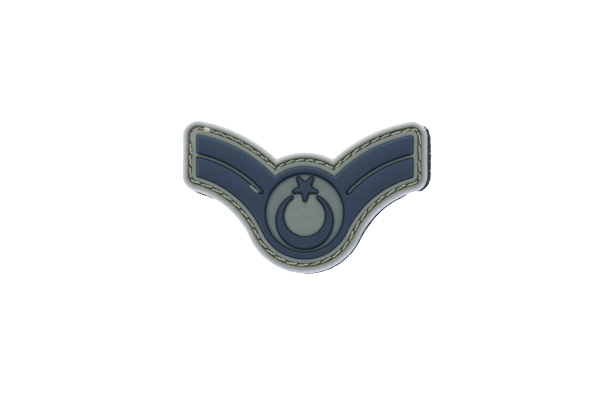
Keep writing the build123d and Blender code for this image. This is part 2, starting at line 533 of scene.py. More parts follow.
class Wiring:
    """Node tree of one material, with short calls for what the finishes here use."""

    def __init__(self, name: str) -> None:
        """Start a material with a shader in it.

        Args:
            name: The material's name.
        """
        self.material = bpy.data.materials.new(name)
        self.material.use_nodes = True
        self.tree = self.material.node_tree
        self.shader = self.tree.nodes["Principled BSDF"]
        self.place = self.tree.nodes.new("ShaderNodeTexCoord").outputs["Object"]

    def link(self, source: Socket, target: Socket) -> None:
        """Join two sockets."""
        self.tree.links.new(source, target)

    def feed(self, source: Socket, name: str) -> None:
        """Join a socket to one of the shader's own."""
        self.link(source, self.shader.inputs[name])

    def set(self, **values: float | Colour) -> None:
        """Set the shader's own sockets, named with underscores for spaces."""
        for name, value in values.items():
            socket = self.shader.inputs[name.replace("_", " ")]
            socket.default_value = (*value, 1.0) if socket.type == "RGBA" else value

    def noise(self, size: float, detail: float = 3.0, roughness: float = 0.5) -> Socket:
        """Return noise whose patches are about a size in millimetres.

        Args:
            size: The patches' size.
            detail: How many finer layers lie over them.
            roughness: How strong the finer layers are, from 0 to 1.

        Returns:
            The noise, from 0 to 1.
        """
        node = self.tree.nodes.new("ShaderNodeTexNoise")
        node.inputs["Scale"].default_value = 1 / (size * MM)
        node.inputs["Detail"].default_value = detail
        node.inputs["Roughness"].default_value = roughness
        self.link(self.place, node.inputs["Vector"])
        return node.outputs["Fac"]

    def bands(self, pitch: float, direction: str) -> Socket:
        """Return smooth bands square to X or Y, with a pitch in millimetres.

        Args:
            pitch: From one band to the next.
            direction: The axis, X or Y, that the bands follow each other along.

        Returns:
            The bands, from 0 to 1.
        """
        node = self.tree.nodes.new("ShaderNodeTexWave")
        node.bands_direction = direction
        # The wave node makes 20 radians of its wave in each unit of its scale
        node.inputs["Scale"].default_value = math.tau / (20 * pitch * MM)
        node.inputs["Distortion"].default_value = 0.6
        node.inputs["Detail Scale"].default_value = 2.0
        self.link(self.place, node.inputs["Vector"])
        return node.outputs["Fac"]

    def tone(self) -> Socket:
        """Return the number that the mesh holds at each point."""
        node = self.tree.nodes.new("ShaderNodeAttribute")
        node.attribute_name = "tone"
        return node.outputs["Fac"]

    def split(self) -> bpy.types.ShaderNode:
        """Return a node that gives the place's X, Y and Z apart."""
        node = self.tree.nodes.new("ShaderNodeSeparateXYZ")
        self.link(self.place, node.inputs["Vector"])
        return node

    def height(self) -> Socket:
        """Return the level in millimetres."""
        return self.combine("MULTIPLY", self.split().outputs["Z"], 1 / MM)

    def away(self, centre: Point) -> Socket:
        """Return the distance in plan, in millimetres, from a centre or its mirror image on the left.

        Args:
            centre: The centre on the right.

        Returns:
            The distance from the nearer of the two.
        """
        parts = self.split()
        flat = self.tree.nodes.new("ShaderNodeCombineXYZ")
        self.link(self.combine("ABSOLUTE", parts.outputs["X"], 0.0), flat.inputs["X"])
        self.link(parts.outputs["Y"], flat.inputs["Y"])
        node = self.tree.nodes.new("ShaderNodeVectorMath")
        node.operation = "DISTANCE"
        self.link(flat.outputs["Vector"], node.inputs[0])
        node.inputs[1].default_value = (centre[0] * MM, centre[1] * MM, 0.0)
        return self.combine("MULTIPLY", node.outputs["Value"], 1 / MM)

    def openness(self, reach: float, closed: float = 0.4) -> Socket:
        """Return how open the surface lies to its surroundings, from 0 in a crevice to 1.

        Args:
            reach: How near a neighbour has to stand to count, in millimetres.
            closed: The share of open sky that counts as fully closed.

        Returns:
            The share.
        """
        node = self.tree.nodes.new("ShaderNodeAmbientOcclusion")
        node.samples = 8
        node.inputs["Distance"].default_value = reach * MM
        return self.remap(node.outputs["AO"], (closed, 1.0))

    def remap(self, source: Socket, old: Point = (0.0, 1.0), new: Point = (0.0, 1.0)) -> Socket:
        """Stretch a number from one range to another, and hold it there.

        Args:
            source: The number.
            old: The range that it comes in.
            new: The range that it leaves in.

        Returns:
            The new number.
        """
        node = self.tree.nodes.new("ShaderNodeMapRange")
        node.inputs["From Min"].default_value, node.inputs["From Max"].default_value = old
        node.inputs["To Min"].default_value, node.inputs["To Max"].default_value = new
        self.link(source, node.inputs["Value"])
        return node.outputs["Result"]

    def spread(self, source: Socket, low: float = 0.0, high: float = 1.0) -> Socket:
        """Return a number between two limits, from noise, which lies mostly between 0.3 and 0.7."""
        return self.remap(source, (0.3, 0.7), (low, high))

    def combine(self, operation: str, first: Socket, second: Socket | float) -> Socket:
        """Return the outcome of one piece of arithmetic.

        Args:
            operation: Which one, as the math node calls it.
            first: The first number.
            second: The second number, which some operations don't use.

        Returns:
            The outcome.
        """
        node = self.tree.nodes.new("ShaderNodeMath")
        node.operation = operation
        self.link(first, node.inputs[0])
        if isinstance(second, float):
            node.inputs[1].default_value = second
        else:
            self.link(second, node.inputs[1])
        return node.outputs[0]

    def blend(self, share: Socket, first: Colour | Socket, second: Colour | Socket) -> Socket:
        """Return a mix of two colours.

        Args:
            share: How much of it is the second colour.
            first: The first colour.
            second: The second colour.

        Returns:
            The mix.
        """
        node = self.tree.nodes.new("ShaderNodeMix")
        node.data_type = "RGBA"
        self.link(share, node.inputs["Factor"])
        # The mix node has one pair of sockets for each kind of value
        sockets = [socket for socket in node.inputs if socket.type == "RGBA"]
        for socket, colour in zip(sockets, (first, second)):
            if isinstance(colour, tuple):
                socket.default_value = (*colour, 1.0)
            else:
                self.link(colour, socket)
        return next(socket for socket in node.outputs if socket.type == "RGBA")

    def bump(self, height: Socket, depth: float) -> None:
        """Raise the surface by a height map, with its depth in millimetres.

        Args:
            height: The height map, from 0 to 1.
            depth: From its lowest to its highest.
        """
        node = self.tree.nodes.new("ShaderNodeBump")
        node.inputs["Strength"].default_value = 1.0
        node.inputs["Distance"].default_value = depth * MM
        self.link(height, node.inputs["Height"])
        if self.shader.inputs["Normal"].links:
            self.link(self.shader.inputs["Normal"].links[0].from_socket, node.inputs["Normal"])
        self.feed(node.outputs["Normal"], "Normal")


class Finish:
    """What a piece is made of. Its material is made once and shared."""

    made: ClassVar[dict[str, bpy.types.Material]] = {}
    name: str

    def material(self) -> bpy.types.Material:
        """Return the material, made on the first call."""
        if self.name not in Finish.made:
            Finish.made[self.name] = self.wire(Wiring(self.name))
        return Finish.made[self.name]

    def wire(self, wiring: Wiring) -> bpy.types.Material:
        """Wire the material's nodes."""
        raise NotImplementedError


def shaded(colour: Colour, factor: float) -> Colour:
    """Return a colour made lighter or darker."""
    return tuple(min(value * factor, 1.0) for value in colour)


@dataclass(frozen=True)
class MouldedPvc(Finish):
    """Soft PVC: a fine moulded grain, faint mottling and a dull sheen, with painted shade and painted glow in
    its colour.
    """

    name: str
    colour: Colour
    # The colour of the painted glow, then the colours of painted shade in crevices and at deep walls
    painted_glow_colour: Colour
    painted_crevice_shade: Colour
    painted_deep_shade: Colour
    crest: Colour | None = None
    crest_levels: Point = (3.72, 3.92)
    mottle: float = 0.07
    mottle_size: float = 2.6
    roughness: float = 0.52
    dull_spread: float = 0.06
    dull_size: float = 0.9
    gloss: float = 0.45
    grain_size: float = 0.12
    grain_depth: float = 0.012
    ripple_size: float = 4.5
    ripple_depth: float = 0.05
    painted_shade_reach: float = 1.5

    def wire(self, wiring: Wiring) -> bpy.types.Material:
        """Wire mottling, painted shade in crevices and at deep walls, the painted glow of the paler edge, the
        moulded grain and slow ripples.

        Args:
            wiring: The material's empty tree.

        Returns:
            The material.
        """
        cloud = wiring.blend(
            wiring.spread(wiring.noise(self.mottle_size, detail=4.0, roughness=0.6)),
            shaded(self.colour, 1 - self.mottle),
            shaded(self.colour, 1 + self.mottle),
        )
        # Painted shade: the crevice colour where the surroundings close in, and the deep colour where the
        # tone is below 0
        body = wiring.blend(wiring.openness(self.painted_shade_reach), self.painted_crevice_shade, self.tint(wiring, cloud))
        shade = wiring.remap(wiring.tone(), (-1.0, 0.0))
        body = wiring.blend(shade, self.painted_deep_shade, body)
        # Painted glow: the pale colour where the tone is above 0
        wiring.feed(wiring.blend(wiring.remap(wiring.tone()), body, self.painted_glow_colour), "Base Color")
        dull = wiring.noise(self.dull_size)
        low = self.roughness - self.dull_spread
        high = self.roughness + self.dull_spread
        wiring.feed(wiring.spread(dull, low, high), "Roughness")
        wiring.bump(wiring.noise(self.ripple_size, detail=1.0), self.ripple_depth)
        wiring.bump(wiring.noise(self.grain_size, detail=2.0), self.grain_depth)
        # A deep wall has less sheen, because its surroundings hide the lights from it
        wiring.feed(wiring.combine("MULTIPLY", shade, self.gloss), "Specular IOR Level")
        return wiring.material

    def tint(self, wiring: Wiring, cloud: Socket) -> Socket:
        """Return the colour with what changes it slowly: the highest part is warmer in colour."""
        if not self.crest:
            return cloud
        return wiring.blend(wiring.remap(wiring.height(), self.crest_levels), cloud, self.crest)


@dataclass(frozen=True)
class BarPvc(MouldedPvc):
    """Soft PVC of the navy relief, whose bars have painted light: lighter towards their upper sides, as lit
    from above.
    """

    emblem: Emblem = field(default_factory=Emblem)
    # Painted light across each bar, from its lower side to its upper side, and how much of it shows
    painted_light_fade: Point = (0.42, 1.7)
    painted_light_share: float = 0.5
    ring_clear: Point = (14.0, 18.0)

    def tint(self, wiring: Wiring, cloud: Socket) -> Socket:
        """Return the colour with painted light on each bar, darker at its lower side and lighter at its upper
        side. The medallion keeps one colour.

        Args:
            wiring: The material's tree.
            cloud: The mottled colour.

        Returns:
            The colour.
        """
        emblem = self.emblem
        climb = wiring.combine("SUBTRACT", wiring.away(emblem.wing_centre), emblem.low_radius)
        climb = wiring.combine("DIVIDE", climb, emblem.wing_width / 2)
        climb = wiring.combine("FRACT", climb, 0.0)
        low, high = (shaded(self.colour, factor) for factor in self.painted_light_fade)
        share = wiring.remap(wiring.away((0.0, 0.0)), self.ring_clear, (0.0, self.painted_light_share))
        return wiring.blend(share, cloud, wiring.blend(climb, low, high))


@dataclass(frozen=True)
class TwistedThread(Finish):
    """Sewing thread of twisted plies: painted shade between the plies and in crevices, light along their
    crowns.
    """

    name: str
    # The groove colour paints shade between the plies and where the thread lies in a crevice
    groove: Colour
    crown: Colour
    fibre_size: float = 0.07
    fibre_depth: float = 0.03
    fibre_shades: Point = (0.8, 1.1)
    wear_size: float = 1.4
    wear_shades: Point = (0.86, 1.12)
    roughness: Point = (0.5, 0.75)
    painted_shade_reach: float = 0.6
    painted_shade_closed: float = 0.1

    def wire(self, wiring: Wiring) -> bpy.types.Material:
        """Wire the plies' painted shade, single fibres and a soft sheen.

        Args:
            wiring: The material's empty tree.

        Returns:
            The material.
        """
        fibres = wiring.noise(self.fibre_size, roughness=0.7)
        dark, light = (shaded(self.crown, factor) for factor in self.wear_shades)
        crown = wiring.blend(wiring.spread(wiring.noise(self.wear_size)), dark, light)
        # Painted shade: the groove colour between the plies, and where the surroundings close in
        ply = wiring.combine("MULTIPLY", wiring.tone(), wiring.spread(fibres, *self.fibre_shades))
        open_share = wiring.openness(self.painted_shade_reach, self.painted_shade_closed)
        ply = wiring.combine("MULTIPLY", ply, open_share)
        wiring.feed(wiring.blend(ply, self.groove, crown), "Base Color")
        wiring.feed(wiring.spread(fibres, *self.roughness), "Roughness")
        wiring.bump(fibres, self.fibre_depth)
        wiring.set(Sheen_Weight=0.25, Sheen_Roughness=0.4, Specular_IOR_Level=0.35)
        return wiring.material


@dataclass(frozen=True)
class WovenGround(Finish):
    """Tightly woven nylon: warp over weft in a fine plain weave."""

    name: str
    warp: Colour
    weft: Colour
    warp_pitch: float = 0.42
    weft_pitch: float = 0.336
    weave_depth: float = 0.14
    fibre_size: float = 0.06
    fibre_depth: float = 0.03
    wear_size: float = 1.8
    wear_share: float = 0.5
    wear_gain: float = 1.5
    roughness: Point = (0.6, 0.85)
    painted_shade_reach: float = 1.2
    painted_shade_closed: float = 0.5
    painted_shade_factor: float = 0.4

    def wire(self, wiring: Wiring) -> bpy.types.Material:
        """Wire the plain weave, its fibres, the worn yarn crowns and painted shade where the surroundings
        close in.

        Args:
            wiring: The material's empty tree.

        Returns:
            The material.
        """
        along = wiring.bands(self.warp_pitch, "X")
        over = wiring.bands(self.weft_pitch, "Y")
        weave = wiring.combine("MULTIPLY", along, over)
        fibres = wiring.noise(self.fibre_size, roughness=0.7)
        yarn = wiring.blend(weave, self.warp, self.weft)
        wear = wiring.spread(wiring.noise(self.wear_size), high=self.wear_share)
        worn = wiring.blend(wear, yarn, shaded(self.weft, self.wear_gain))
        # Painted shade: a darker warp colour where the surroundings close in
        open_share = wiring.openness(self.painted_shade_reach, self.painted_shade_closed)
        worn = wiring.blend(open_share, shaded(self.warp, self.painted_shade_factor), worn)
        wiring.feed(worn, "Base Color")
        wiring.feed(wiring.spread(fibres, *self.roughness), "Roughness")
        wiring.bump(weave, self.weave_depth)
        wiring.bump(fibres, self.fibre_depth)
        wiring.set(Sheen_Weight=0.3, Sheen_Roughness=0.5, Specular_IOR_Level=0.3)
        return wiring.material


@dataclass(frozen=True)
class DrawnNylon(Finish):
    """Nylon monofilament of the hooks: smooth, slightly uneven in colour."""

    name: str
    colour: Colour
    lot_size: float = 1.6
    lot_shades: Point = (0.75, 1.35)
    sheen_size: float = 0.3
    roughness: Point = (0.28, 0.45)
    draw_size: float = 0.08
    draw_depth: float = 0.006

    def wire(self, wiring: Wiring) -> bpy.types.Material:
        """Wire a faint change of colour from hook to hook and fine draw lines.

        Args:
            wiring: The material's empty tree.

        Returns:
            The material.
        """
        dark, light = (shaded(self.colour, factor) for factor in self.lot_shades)
        lot = wiring.spread(wiring.noise(self.lot_size))
        wiring.feed(wiring.blend(lot, dark, light), "Base Color")
        wiring.feed(wiring.spread(wiring.noise(self.sheen_size), *self.roughness), "Roughness")
        wiring.bump(wiring.noise(self.draw_size, detail=2.0), self.draw_depth)
        wiring.set(Specular_IOR_Level=0.55)
        return wiring.material


@dataclass(frozen=True)
class PaleTable(Finish):
    """The plain pale table under the patch, lit from below as for a catalogue picture."""

    name: str = "pale_table"
    colour: Colour = (0.86, 0.87, 0.88)
    shades: Point = (0.98, 1.02)
    cloud_size: float = 60.0
    glow: float = 1.7

    def wire(self, wiring: Wiring) -> bpy.types.Material:
        """Wire a faint unevenness into a pale matte top.

        Args:
            wiring: The material's empty tree.

        Returns:
            The material.
        """
        dark, light = (shaded(self.colour, factor) for factor in self.shades)
        cloud = wiring.spread(wiring.noise(self.cloud_size))
        wiring.feed(wiring.blend(cloud, dark, light), "Base Color")
        wiring.set(Roughness=0.9, Emission_Color=(1.0, 1.0, 1.0), Emission_Strength=self.glow)
        return wiring.material


# The pale colour paints a glow on the rim and lip, and a little of it lies on the filled corner; the crevice
# and deep colours paint shade
GREY_GREEN = MouldedPvc(
    "grey_green_pvc",
    (0.192, 0.23, 0.206),
    painted_glow_colour=(0.628, 0.632, 0.7),
    painted_crevice_shade=(0.152, 0.168, 0.12),
    painted_deep_shade=(0.067, 0.08, 0.072),
    crest=(0.203, 0.231, 0.175),
)
# The floors between the navy pieces, a little darker, whose crevice and deep colours paint a bluish shade
SUNK_GREEN = replace(
    GREY_GREEN,
    name="sunk_green_pvc",
    colour=(0.181, 0.219, 0.197),
    painted_crevice_shade=(0.09, 0.12, 0.135),
    painted_deep_shade=(0.027, 0.065, 0.085),
    crest=None,
)
# The pale colour paints a highlight line along the shoulders, and the crevice and deep colours paint shade
NAVY = BarPvc(
    "navy_pvc",
    (0.012, 0.031, 0.064),
    painted_glow_colour=(0.032, 0.058, 0.103),
    painted_crevice_shade=(0.010, 0.026, 0.052),
    painted_deep_shade=(0.013, 0.023, 0.038),
    mottle=0.1,
    roughness=0.6,
    gloss=0.46,
)
OLIVE_THREAD = TwistedThread("olive_thread", (0.10, 0.11, 0.08), (0.46, 0.51, 0.40))
TIED_THREAD = replace(OLIVE_THREAD, name="tied_thread", groove=(0.3, 0.3, 0.2), crown=(0.72, 0.71, 0.55))
LAP_THREAD = replace(OLIVE_THREAD, name="lap_thread", crown=(0.33, 0.37, 0.29))
BOBBIN_THREAD = TwistedThread("bobbin_thread", (0.016, 0.02, 0.03), (0.06, 0.07, 0.09))
TAPE_GROUND = WovenGround("woven_navy_nylon", (0.018, 0.027, 0.052), (0.062, 0.085, 0.14))
HOOK_NYLON = DrawnNylon("hook_nylon", (0.022, 0.03, 0.052))
LOOSE_NYLON = DrawnNylon("loose_nylon", (0.15, 0.17, 0.25))


# Seam

@dataclass(frozen=True)
class Hole:
    """A needle hole: how far along the seam and how far to its outer side it lies."""

    along: float
    aside: float
    gape: float = 0.1


@dataclass(frozen=True)
class Stretch:
    """A run of the seam from a needle hole that shows plainly, up to the next such hole."""

    start: Point
    stitches: int = 1
    gape: float = 0.1


@dataclass(frozen=True)
class SeamLine:
    """Where the seam runs in its channel and where the needle went through."""

    emblem: Emblem
    margin: float = 1.53
    wander: float = 0.1
    sway: float = 0.07
    most_aside: float = 0.3
    lap_start: Point = (-16.2, 14.6)
    lap_end: Point = (-30.3, 23.7)
    lap_pitch: float = 2.82
    lap_wander: float = 0.2
    lap_sway: float = 0.16
    tie: Point = (-27.95, 23.5)
    filled_corner: Point = (-32.1, 22.1)
    fill_reach: float = 4.8
    fill_gain: float = 1.3
    stretches: tuple[Stretch, ...] = (
        Stretch((32.4, 9.0)),
        Stretch((32.75, 11.6)),
        Stretch((32.75, 15.0)),
        Stretch((32.9, 19.35)),
        Stretch((32.2, 23.3)),
        Stretch((30.3, 24.0)),
        Stretch((27.6, 22.95), 7),
        Stretch((8.28, 12.48), 6),
        Stretch((-8.28, 12.48), 4),
        Stretch((-17.72, 19.72), 1, 0.2),
        Stretch((-20.41, 21.13), 1, 0.22),
        Stretch((-23.25, 22.24), 1, 0.26),
        Stretch((-26.0, 23.22), 1, 0.26),
        Stretch((-29.27, 23.82), 30, 0.34),
    )

    def track(self) -> Track:
        """Return the middle of the channel."""
        return Track(self.emblem.border_loop(self.margin))

    def filled(self, x: float, y: float) -> float:
        """Return how much of the channel is filled at a place, from 0 to 1."""
        away = smooth(math.dist((x, y), self.filled_corner) / self.fill_reach)
        return min(self.fill_gain - self.fill_gain * away, 1.0)

    def plain_holes(self) -> list[Hole]:
        """Return the holes that the stretches start from.

        Returns:
            One hole for each stretch.
        """
        track = self.track()
        holes = []
        for stretch in self.stretches:
            aside = min(max(track.beside(stretch.start), -self.most_aside), self.most_aside)
            holes.append(Hole(track.nearest(stretch.start), aside, stretch.gape))
        return holes

    def holes(self) -> list[Hole]:
        """Return the needle holes of the whole round.

        Returns:
            The holes in order along the seam.
        """
        draw = random.Random(SEED)
        track = self.track()
        plain = self.plain_holes()
        holes = []
        for stretch, first, last in zip(self.stretches, plain, plain[1:] + plain[:1]):
            length = (last.along - first.along) % track.length
            holes.append(first)
            for step in range(1, stretch.stitches):
                along = first.along + length * step / stretch.stitches
                along += draw.uniform(-self.wander, self.wander)
                holes.append(Hole(along % track.length, draw.uniform(-self.sway, self.sway)))
        return sorted(holes, key=lambda hole: hole.along)

    def lap_holes(self) -> list[Hole]:
        """Return the holes of the stretch that was sewn over a second time.

        Returns:
            The holes in order along the seam.
        """
        draw = random.Random(SEED + 1)
        track = self.track()
        start = track.nearest(self.lap_start)
        end = track.nearest(self.lap_end)
        count = round((end - start) / self.lap_pitch)
        holes = []
        for step in range(count + 1):
            along = start + (end - start) * step / count
            along += draw.uniform(-self.lap_wander, self.lap_wander)
            holes.append(Hole(along, draw.uniform(-self.lap_sway, self.lap_sway)))
        return holes


class Side(Enum):
    """The side of the patch that a row of stitches shows on."""

    FACE = 1
    BACK = -1


@dataclass
class StitchRow:
    """A row of stitches from hole to hole, each one a length of twisted thread."""

    name: str
    line: SeamLine
    holes: list[Hole]
    level: float
    rise: float = 0.12
    side: Side = Side.FACE
    finish: Finish = OLIVE_THREAD
    closed: bool = True
    radius: float = 0.33
    radius_shares: Point = (0.93, 1.07)
    slant: float = 0.22
    arch: float = 0.1
    dive: float = 0.5
    turn_in: float = 0.45
    clear_share: float = 0.86
    sink: float = 0.35
    steps: int = 44
    even_share: float = 0.45
    sides: int = 20
    plies: int = 2
    twist_pitch: float = 2.6
    ply_depth: float = 0.3
    crown_gain: float = 1.25

    def path(self, track: Track, first: Hole, last: Hole) -> list[Vector]:
        """Lay one stitch.

        Args:
            track: The middle of the channel.
            first: The hole where the stitch comes up.
            last: The hole where it goes down.

        Returns:
            The points of its middle line.
        """
        start = first.along + first.gape
        end = last.along - last.gape
        if end < start:
            end += track.length
        points = []
        for step in range(self.steps + 1):
            # The steps crowd towards the two ends, where the thread bends down
            crowded = 0.5 - 0.5 * math.cos(math.pi * step / self.steps)
            share = (1 - self.even_share) * crowded + self.even_share * step / self.steps
            near = min(share, 1 - share) * (end - start)
            risen = math.sin(min(near / self.turn_in, 1.0) * math.pi / 2)
            lift = -self.dive + (self.dive + self.radius * self.clear_share) * risen
            lift += self.arch * math.sin(math.pi * share)
            aside = first.aside + (last.aside - first.aside) * share + self.slant * (1 - 2 * share)
            (x, y), _ = track.place(start + (end - start) * share, aside)
            if self.side is Side.FACE:
                lift -= self.sink * self.line.filled(x, y)
            points.append(Vector((x, y, self.level + self.rise + self.side.value * lift)))
        return points

    def pairs(self) -> list[tuple[Hole, Hole]]:
        """Return the two holes of each stitch."""
        pairs = list(zip(self.holes, self.holes[1:] + self.holes[:1]))
        return pairs if self.closed else pairs[:-1]

    def twist(self, draft: MeshDraft, path: list[Vector], draw: random.Random) -> None:
        """Add the thread of one stitch.

        Args:
            draft: The row's draft.
            path: The points of the stitch's middle line.
            draw: Where the thread's thickness and the start of its twist are drawn from.
        """
        marks = [0.0]
        for here, there in zip(path, path[1:]):
            marks.append(marks[-1] + (there - here).length)
        thick = self.radius * draw.uniform(*self.radius_shares)
        phase = draw.uniform(0.0, math.tau)

        def ply(i: int, angle: float) -> float:
            """Return 1 on the crown of a ply and 0 between two plies."""
            turn = math.tau * marks[i] / self.twist_pitch + phase
            return abs(math.cos(self.plies / 2 * (angle - turn)))

        # The tone paints shade between the plies
        draft.tube(
            path,
            lambda i, angle: thick * (1 - self.ply_depth + self.ply_depth * ply(i, angle)),
            self.sides,
            lambda i, angle: smooth(ply(i, angle) * self.crown_gain),
        )

    def dress(self) -> bpy.types.Object:
        """Build the whole row.

        Returns:
            The finished piece.
        """
        track = self.line.track()
        draft = MeshDraft()
        draw = random.Random(len(self.holes))
        for first, last in self.pairs():
            self.twist(draft, self.path(track, first, last), draw)
        piece = draft.build(self.name, sharp=80.0)
        settle(piece, self.finish, "seam_thread")
        return piece


@dataclass
class LapRow(StitchRow):
    """The stitches of the stretch that was sewn twice: darker, and slanting the other way."""

    rise: float = 0.3
    finish: Finish = LAP_THREAD
    closed: bool = False
    slant: float = -0.26
    arch: float = 0.14
    dive: float = 0.7


@dataclass
class TieOff(StitchRow):
    """Short strands side by side, where the seam was fastened off."""

    rise: float = 0.6
    finish: Finish = TIED_THREAD
    radius: float = 0.28
    slant: float = 0.0
    arch: float = 0.05
    twist_pitch: float = 9.0
    ply_depth: float = 0.2
    strands: int = 3
    length: float = 2.1
    spacing: float = 0.4

    def pairs(self) -> list[tuple[Hole, Hole]]:
        """Return the two ends of each strand."""
        (middle,) = self.holes
        half = self.length / 2
        places = [middle.aside + self.spacing * (i - (self.strands - 1) / 2) for i in range(self.strands)]
        return [(Hole(middle.along - half, place), Hole(middle.along + half, place)) for place in places]


@dataclass
class BobbinRow(StitchRow):
    """The thread on the back, a thinner one that goes through the same holes."""

    rise: float = 0.0
    side: Side = Side.BACK
    finish: Finish = BOBBIN_THREAD
    radius: float = 0.2
    dive: float = 0.3
    steps: int = 28
    sides: int = 12


# Moulding

class Stop(NamedTuple):
    """One stop of the border's section: margin from the navy edge, height above the back, and painted glow.
    """

    margin: float
    height: float
    painted_glow: float = 0.0


def quarter(steps: int) -> list[float]:
    """Return the angles from nothing to a quarter turn, in even steps."""
    return [step / steps * math.pi / 2 for step in range(steps + 1)]


@dataclass(frozen=True)
class MouldedBody:
    """The grey-green body: rim, seam channel, lip, disc and the floors of the slots."""

    emblem: Emblem
    line: SeamLine
    lip_width: float = 1.04
    channel_width: float = 1.05
    rim_width: float = 1.81
    rim_crest: float = 0.1
    inner_round: float = 0.25
    lip_round: Point = (0.42, 0.3)
    rim_steps: int = 14
    inner_steps: int = 6
    lip_steps: int = 8
    rim_level: float = 2.4
    lip_level: float = 2.05
    channel_floor: float = 1.3
    slot_floor: float = 1.9
    disc_floor: float = 1.6
    pocket_floor: float = 1.1
    foot_drop: float = 0.02
    fit: float = 0.02
    ripple: float = 0.02
    ripple_size: float = 3.0
    still_height: float = 0.3
    # The rim's foot: distance in from the edge, height above the back, and painted glow
    foot: tuple[tuple[float, float, float], ...] = (
        (0.3, 0.0, 0.0),
        (0.1, 0.02, 0.0),
        (0.02, 0.1, 0.05),
        (0.0, 0.25, 0.1),
        (0.0, 0.6, 0.3),
    )
    # The channel's two walls: distance in from its edge, and height above its floor
    rim_wall: tuple[Point, ...] = ((0.06, 0.55), (0.12, 0.25), (0.18, 0.08), (0.26, 0.0))
    lip_wall: tuple[Point, ...] = ((0.2, 0.0), (0.1, 0.08), (0.05, 0.25), (0.01, 0.5))
    floor_stops: tuple[float, ...] = (0.24, 0.14, 0.05, -0.05, -0.14, -0.24)
    # The lip's inner edge: distance out from it, depth below the lip, and painted glow
    lip_edge: tuple[tuple[float, float, float], ...] = (
        (0.55, 0.0, 0.01),
        (0.12, 0.0, 0.02),
        (0.03, 0.03, 0.0),
        (0.0, 0.1, 0.0),
    )
    fill_level: float = 1.98
    fill_lap: float = 0.45
    fill_ripple: float = 0.15
    fill_ripple_size: float = 0.6
    fill_paleness: float = 0.1
    groove_start: float = 0.45
    groove_fade: float = 0.4
    groove_keep: float = 0.6
    hole_depth: float = 0.6
    hole_spread: float = 0.13
    gape_spread: float = 0.6
    # Painted glow on the rim and lip: how much, from where beyond the crest, and how it fades on the steep
    # outer wall
    rim_painted_glow: float = 0.58
    glow_lap: float = 0.05
    edge_fade: float = 0.45
    edge_width: float = 0.45
    lip_painted_glow: float = 0.01
    # Painted shade at the right end's rim, and how far in from the edge it reaches
    tape_shade: float = 0.32
    edge_shade: float = 0.5
    shade_width: float = 0.6
    end_facing: float = 0.75
    end_turn: float = 0.2
    disc_sides: int = 240
    disc_ripple_size: float = 4.0
    disc_radii: tuple[float, ...] = (10.8, 10.6, 10.3, 10.0, 9.5, 9.0, 8.5, 8.0, 7.5, 7.0, 6.5, 6.0, 4.0, 2.0)
    # Painted shade on the disc
    disc_shade: float = 0.06
    # Where the disc has more painted shade: by how much, from which radius, and over what width
    disc_painted_shades: tuple[tuple[float, float, float], ...] = ((0.22, 5.4, 3.0), (0.06, 10.1, 0.9))
    rib_steps: int = 140
    rib_end_steps: int = 8
    rib_end_width: float = 0.02
    rib_lap: float = 0.4
    rib_ripple_size: float = 2.0
    rib_rise: float = 0.14
    rib_rise_width: float = 2.4
    # Painted shade on the slot floors, with less of it towards the mouth
    rib_painted_shade: float = -0.32
    rib_mouth_paler: float = 0.22

    @property
    def channel_edge(self) -> float:
        """Margin of the channel's outer edge."""
        return self.lip_width + self.channel_width

    @property
    def border(self) -> float:
        """Width of the whole border."""
        return self.lip_width + self.channel_width + self.rim_width

    @cached_property
    def back(self) -> float:
        """Level of the moulding's back."""
        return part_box("moulded_base")[0].z / MM

    def rim_stops(self) -> list[Stop]:
        """Return the stops from the back over the rim.

        Returns:
            The stops in order.
        """
        edge = self.border
        crest_in = self.channel_edge + self.inner_round
        crest_out = crest_in + self.rim_crest
        wide = edge - crest_out
        stops = [Stop(edge - inset, height, painted_glow) for inset, height, painted_glow in self.foot]
        for turn in quarter(self.rim_steps):
            margin = crest_out + wide * math.cos(turn)
            height = self.rim_level - wide * (1 - math.sin(turn))
            # Painted glow grows outward from the crest and fades on the steep outer wall
            painted_light_fade = 1 - self.edge_fade * smooth((margin - edge + self.edge_width) / self.edge_width)
            beyond_crest = max(margin - crest_in + self.glow_lap, 0.0)
            stops.append(Stop(margin, height, self.rim_painted_glow * painted_light_fade * beyond_crest))
        for turn in quarter(self.inner_steps):
            margin = crest_in - self.inner_round * math.sin(turn)
            stops.append(Stop(margin, self.rim_level - self.inner_round * (1 - math.cos(turn))))
        return stops

    def channel_stops(self) -> list[Stop]:
        """Return the stops down the channel's outer wall, over its floor and up its inner wall.

        Returns:
            The stops in order.
        """
        low = self.channel_floor
        middle = self.lip_width + self.channel_width / 2
        stops = [Stop(self.channel_edge - inset, low + height) for inset, height in self.rim_wall]
        stops += [Stop(middle + aside, low) for aside in self.floor_stops]
        stops += [Stop(self.lip_width + inset, low + height) for inset, height in self.lip_wall]
        return stops

    def lip_stops(self) -> list[Stop]:
        """Return the stops over the lip and down into the pocket of the navy relief.

        Returns:
            The stops in order.
        """
        wide, tall = self.lip_round
        stops = []
        # The lip takes a faint painted glow
        for turn in quarter(self.lip_steps):
            margin = self.lip_width - wide * (1 - math.cos(turn))
            stops.append(Stop(margin, self.lip_level - tall * (1 - math.sin(turn)), self.lip_painted_glow))
        edge = -self.emblem.lip_lap
        stops += [Stop(edge + out, self.lip_level - drop, painted_glow) for out, drop, painted_glow in self.lip_edge]
        stops.append(Stop(edge, self.pocket_floor))
        return stops

    def border_line(self, margin: float) -> list[tuple[Vector, Vector]]:
        """Return the points at a margin from the navy edge, each with its outward direction.

        Args:
            margin: How far out the points lie.

        Returns:
            The points in order, with their directions.
        """
        loop = [Vector(point) for point in self.emblem.border_loop(margin)]
        line = []
        for before, here, after in zip(loop[-1:] + loop[:-1], loop, loop[1:] + loop[:1]):
            step = after - before
            line.append((here, Vector((step.y, -step.x)).normalized()))
        return line

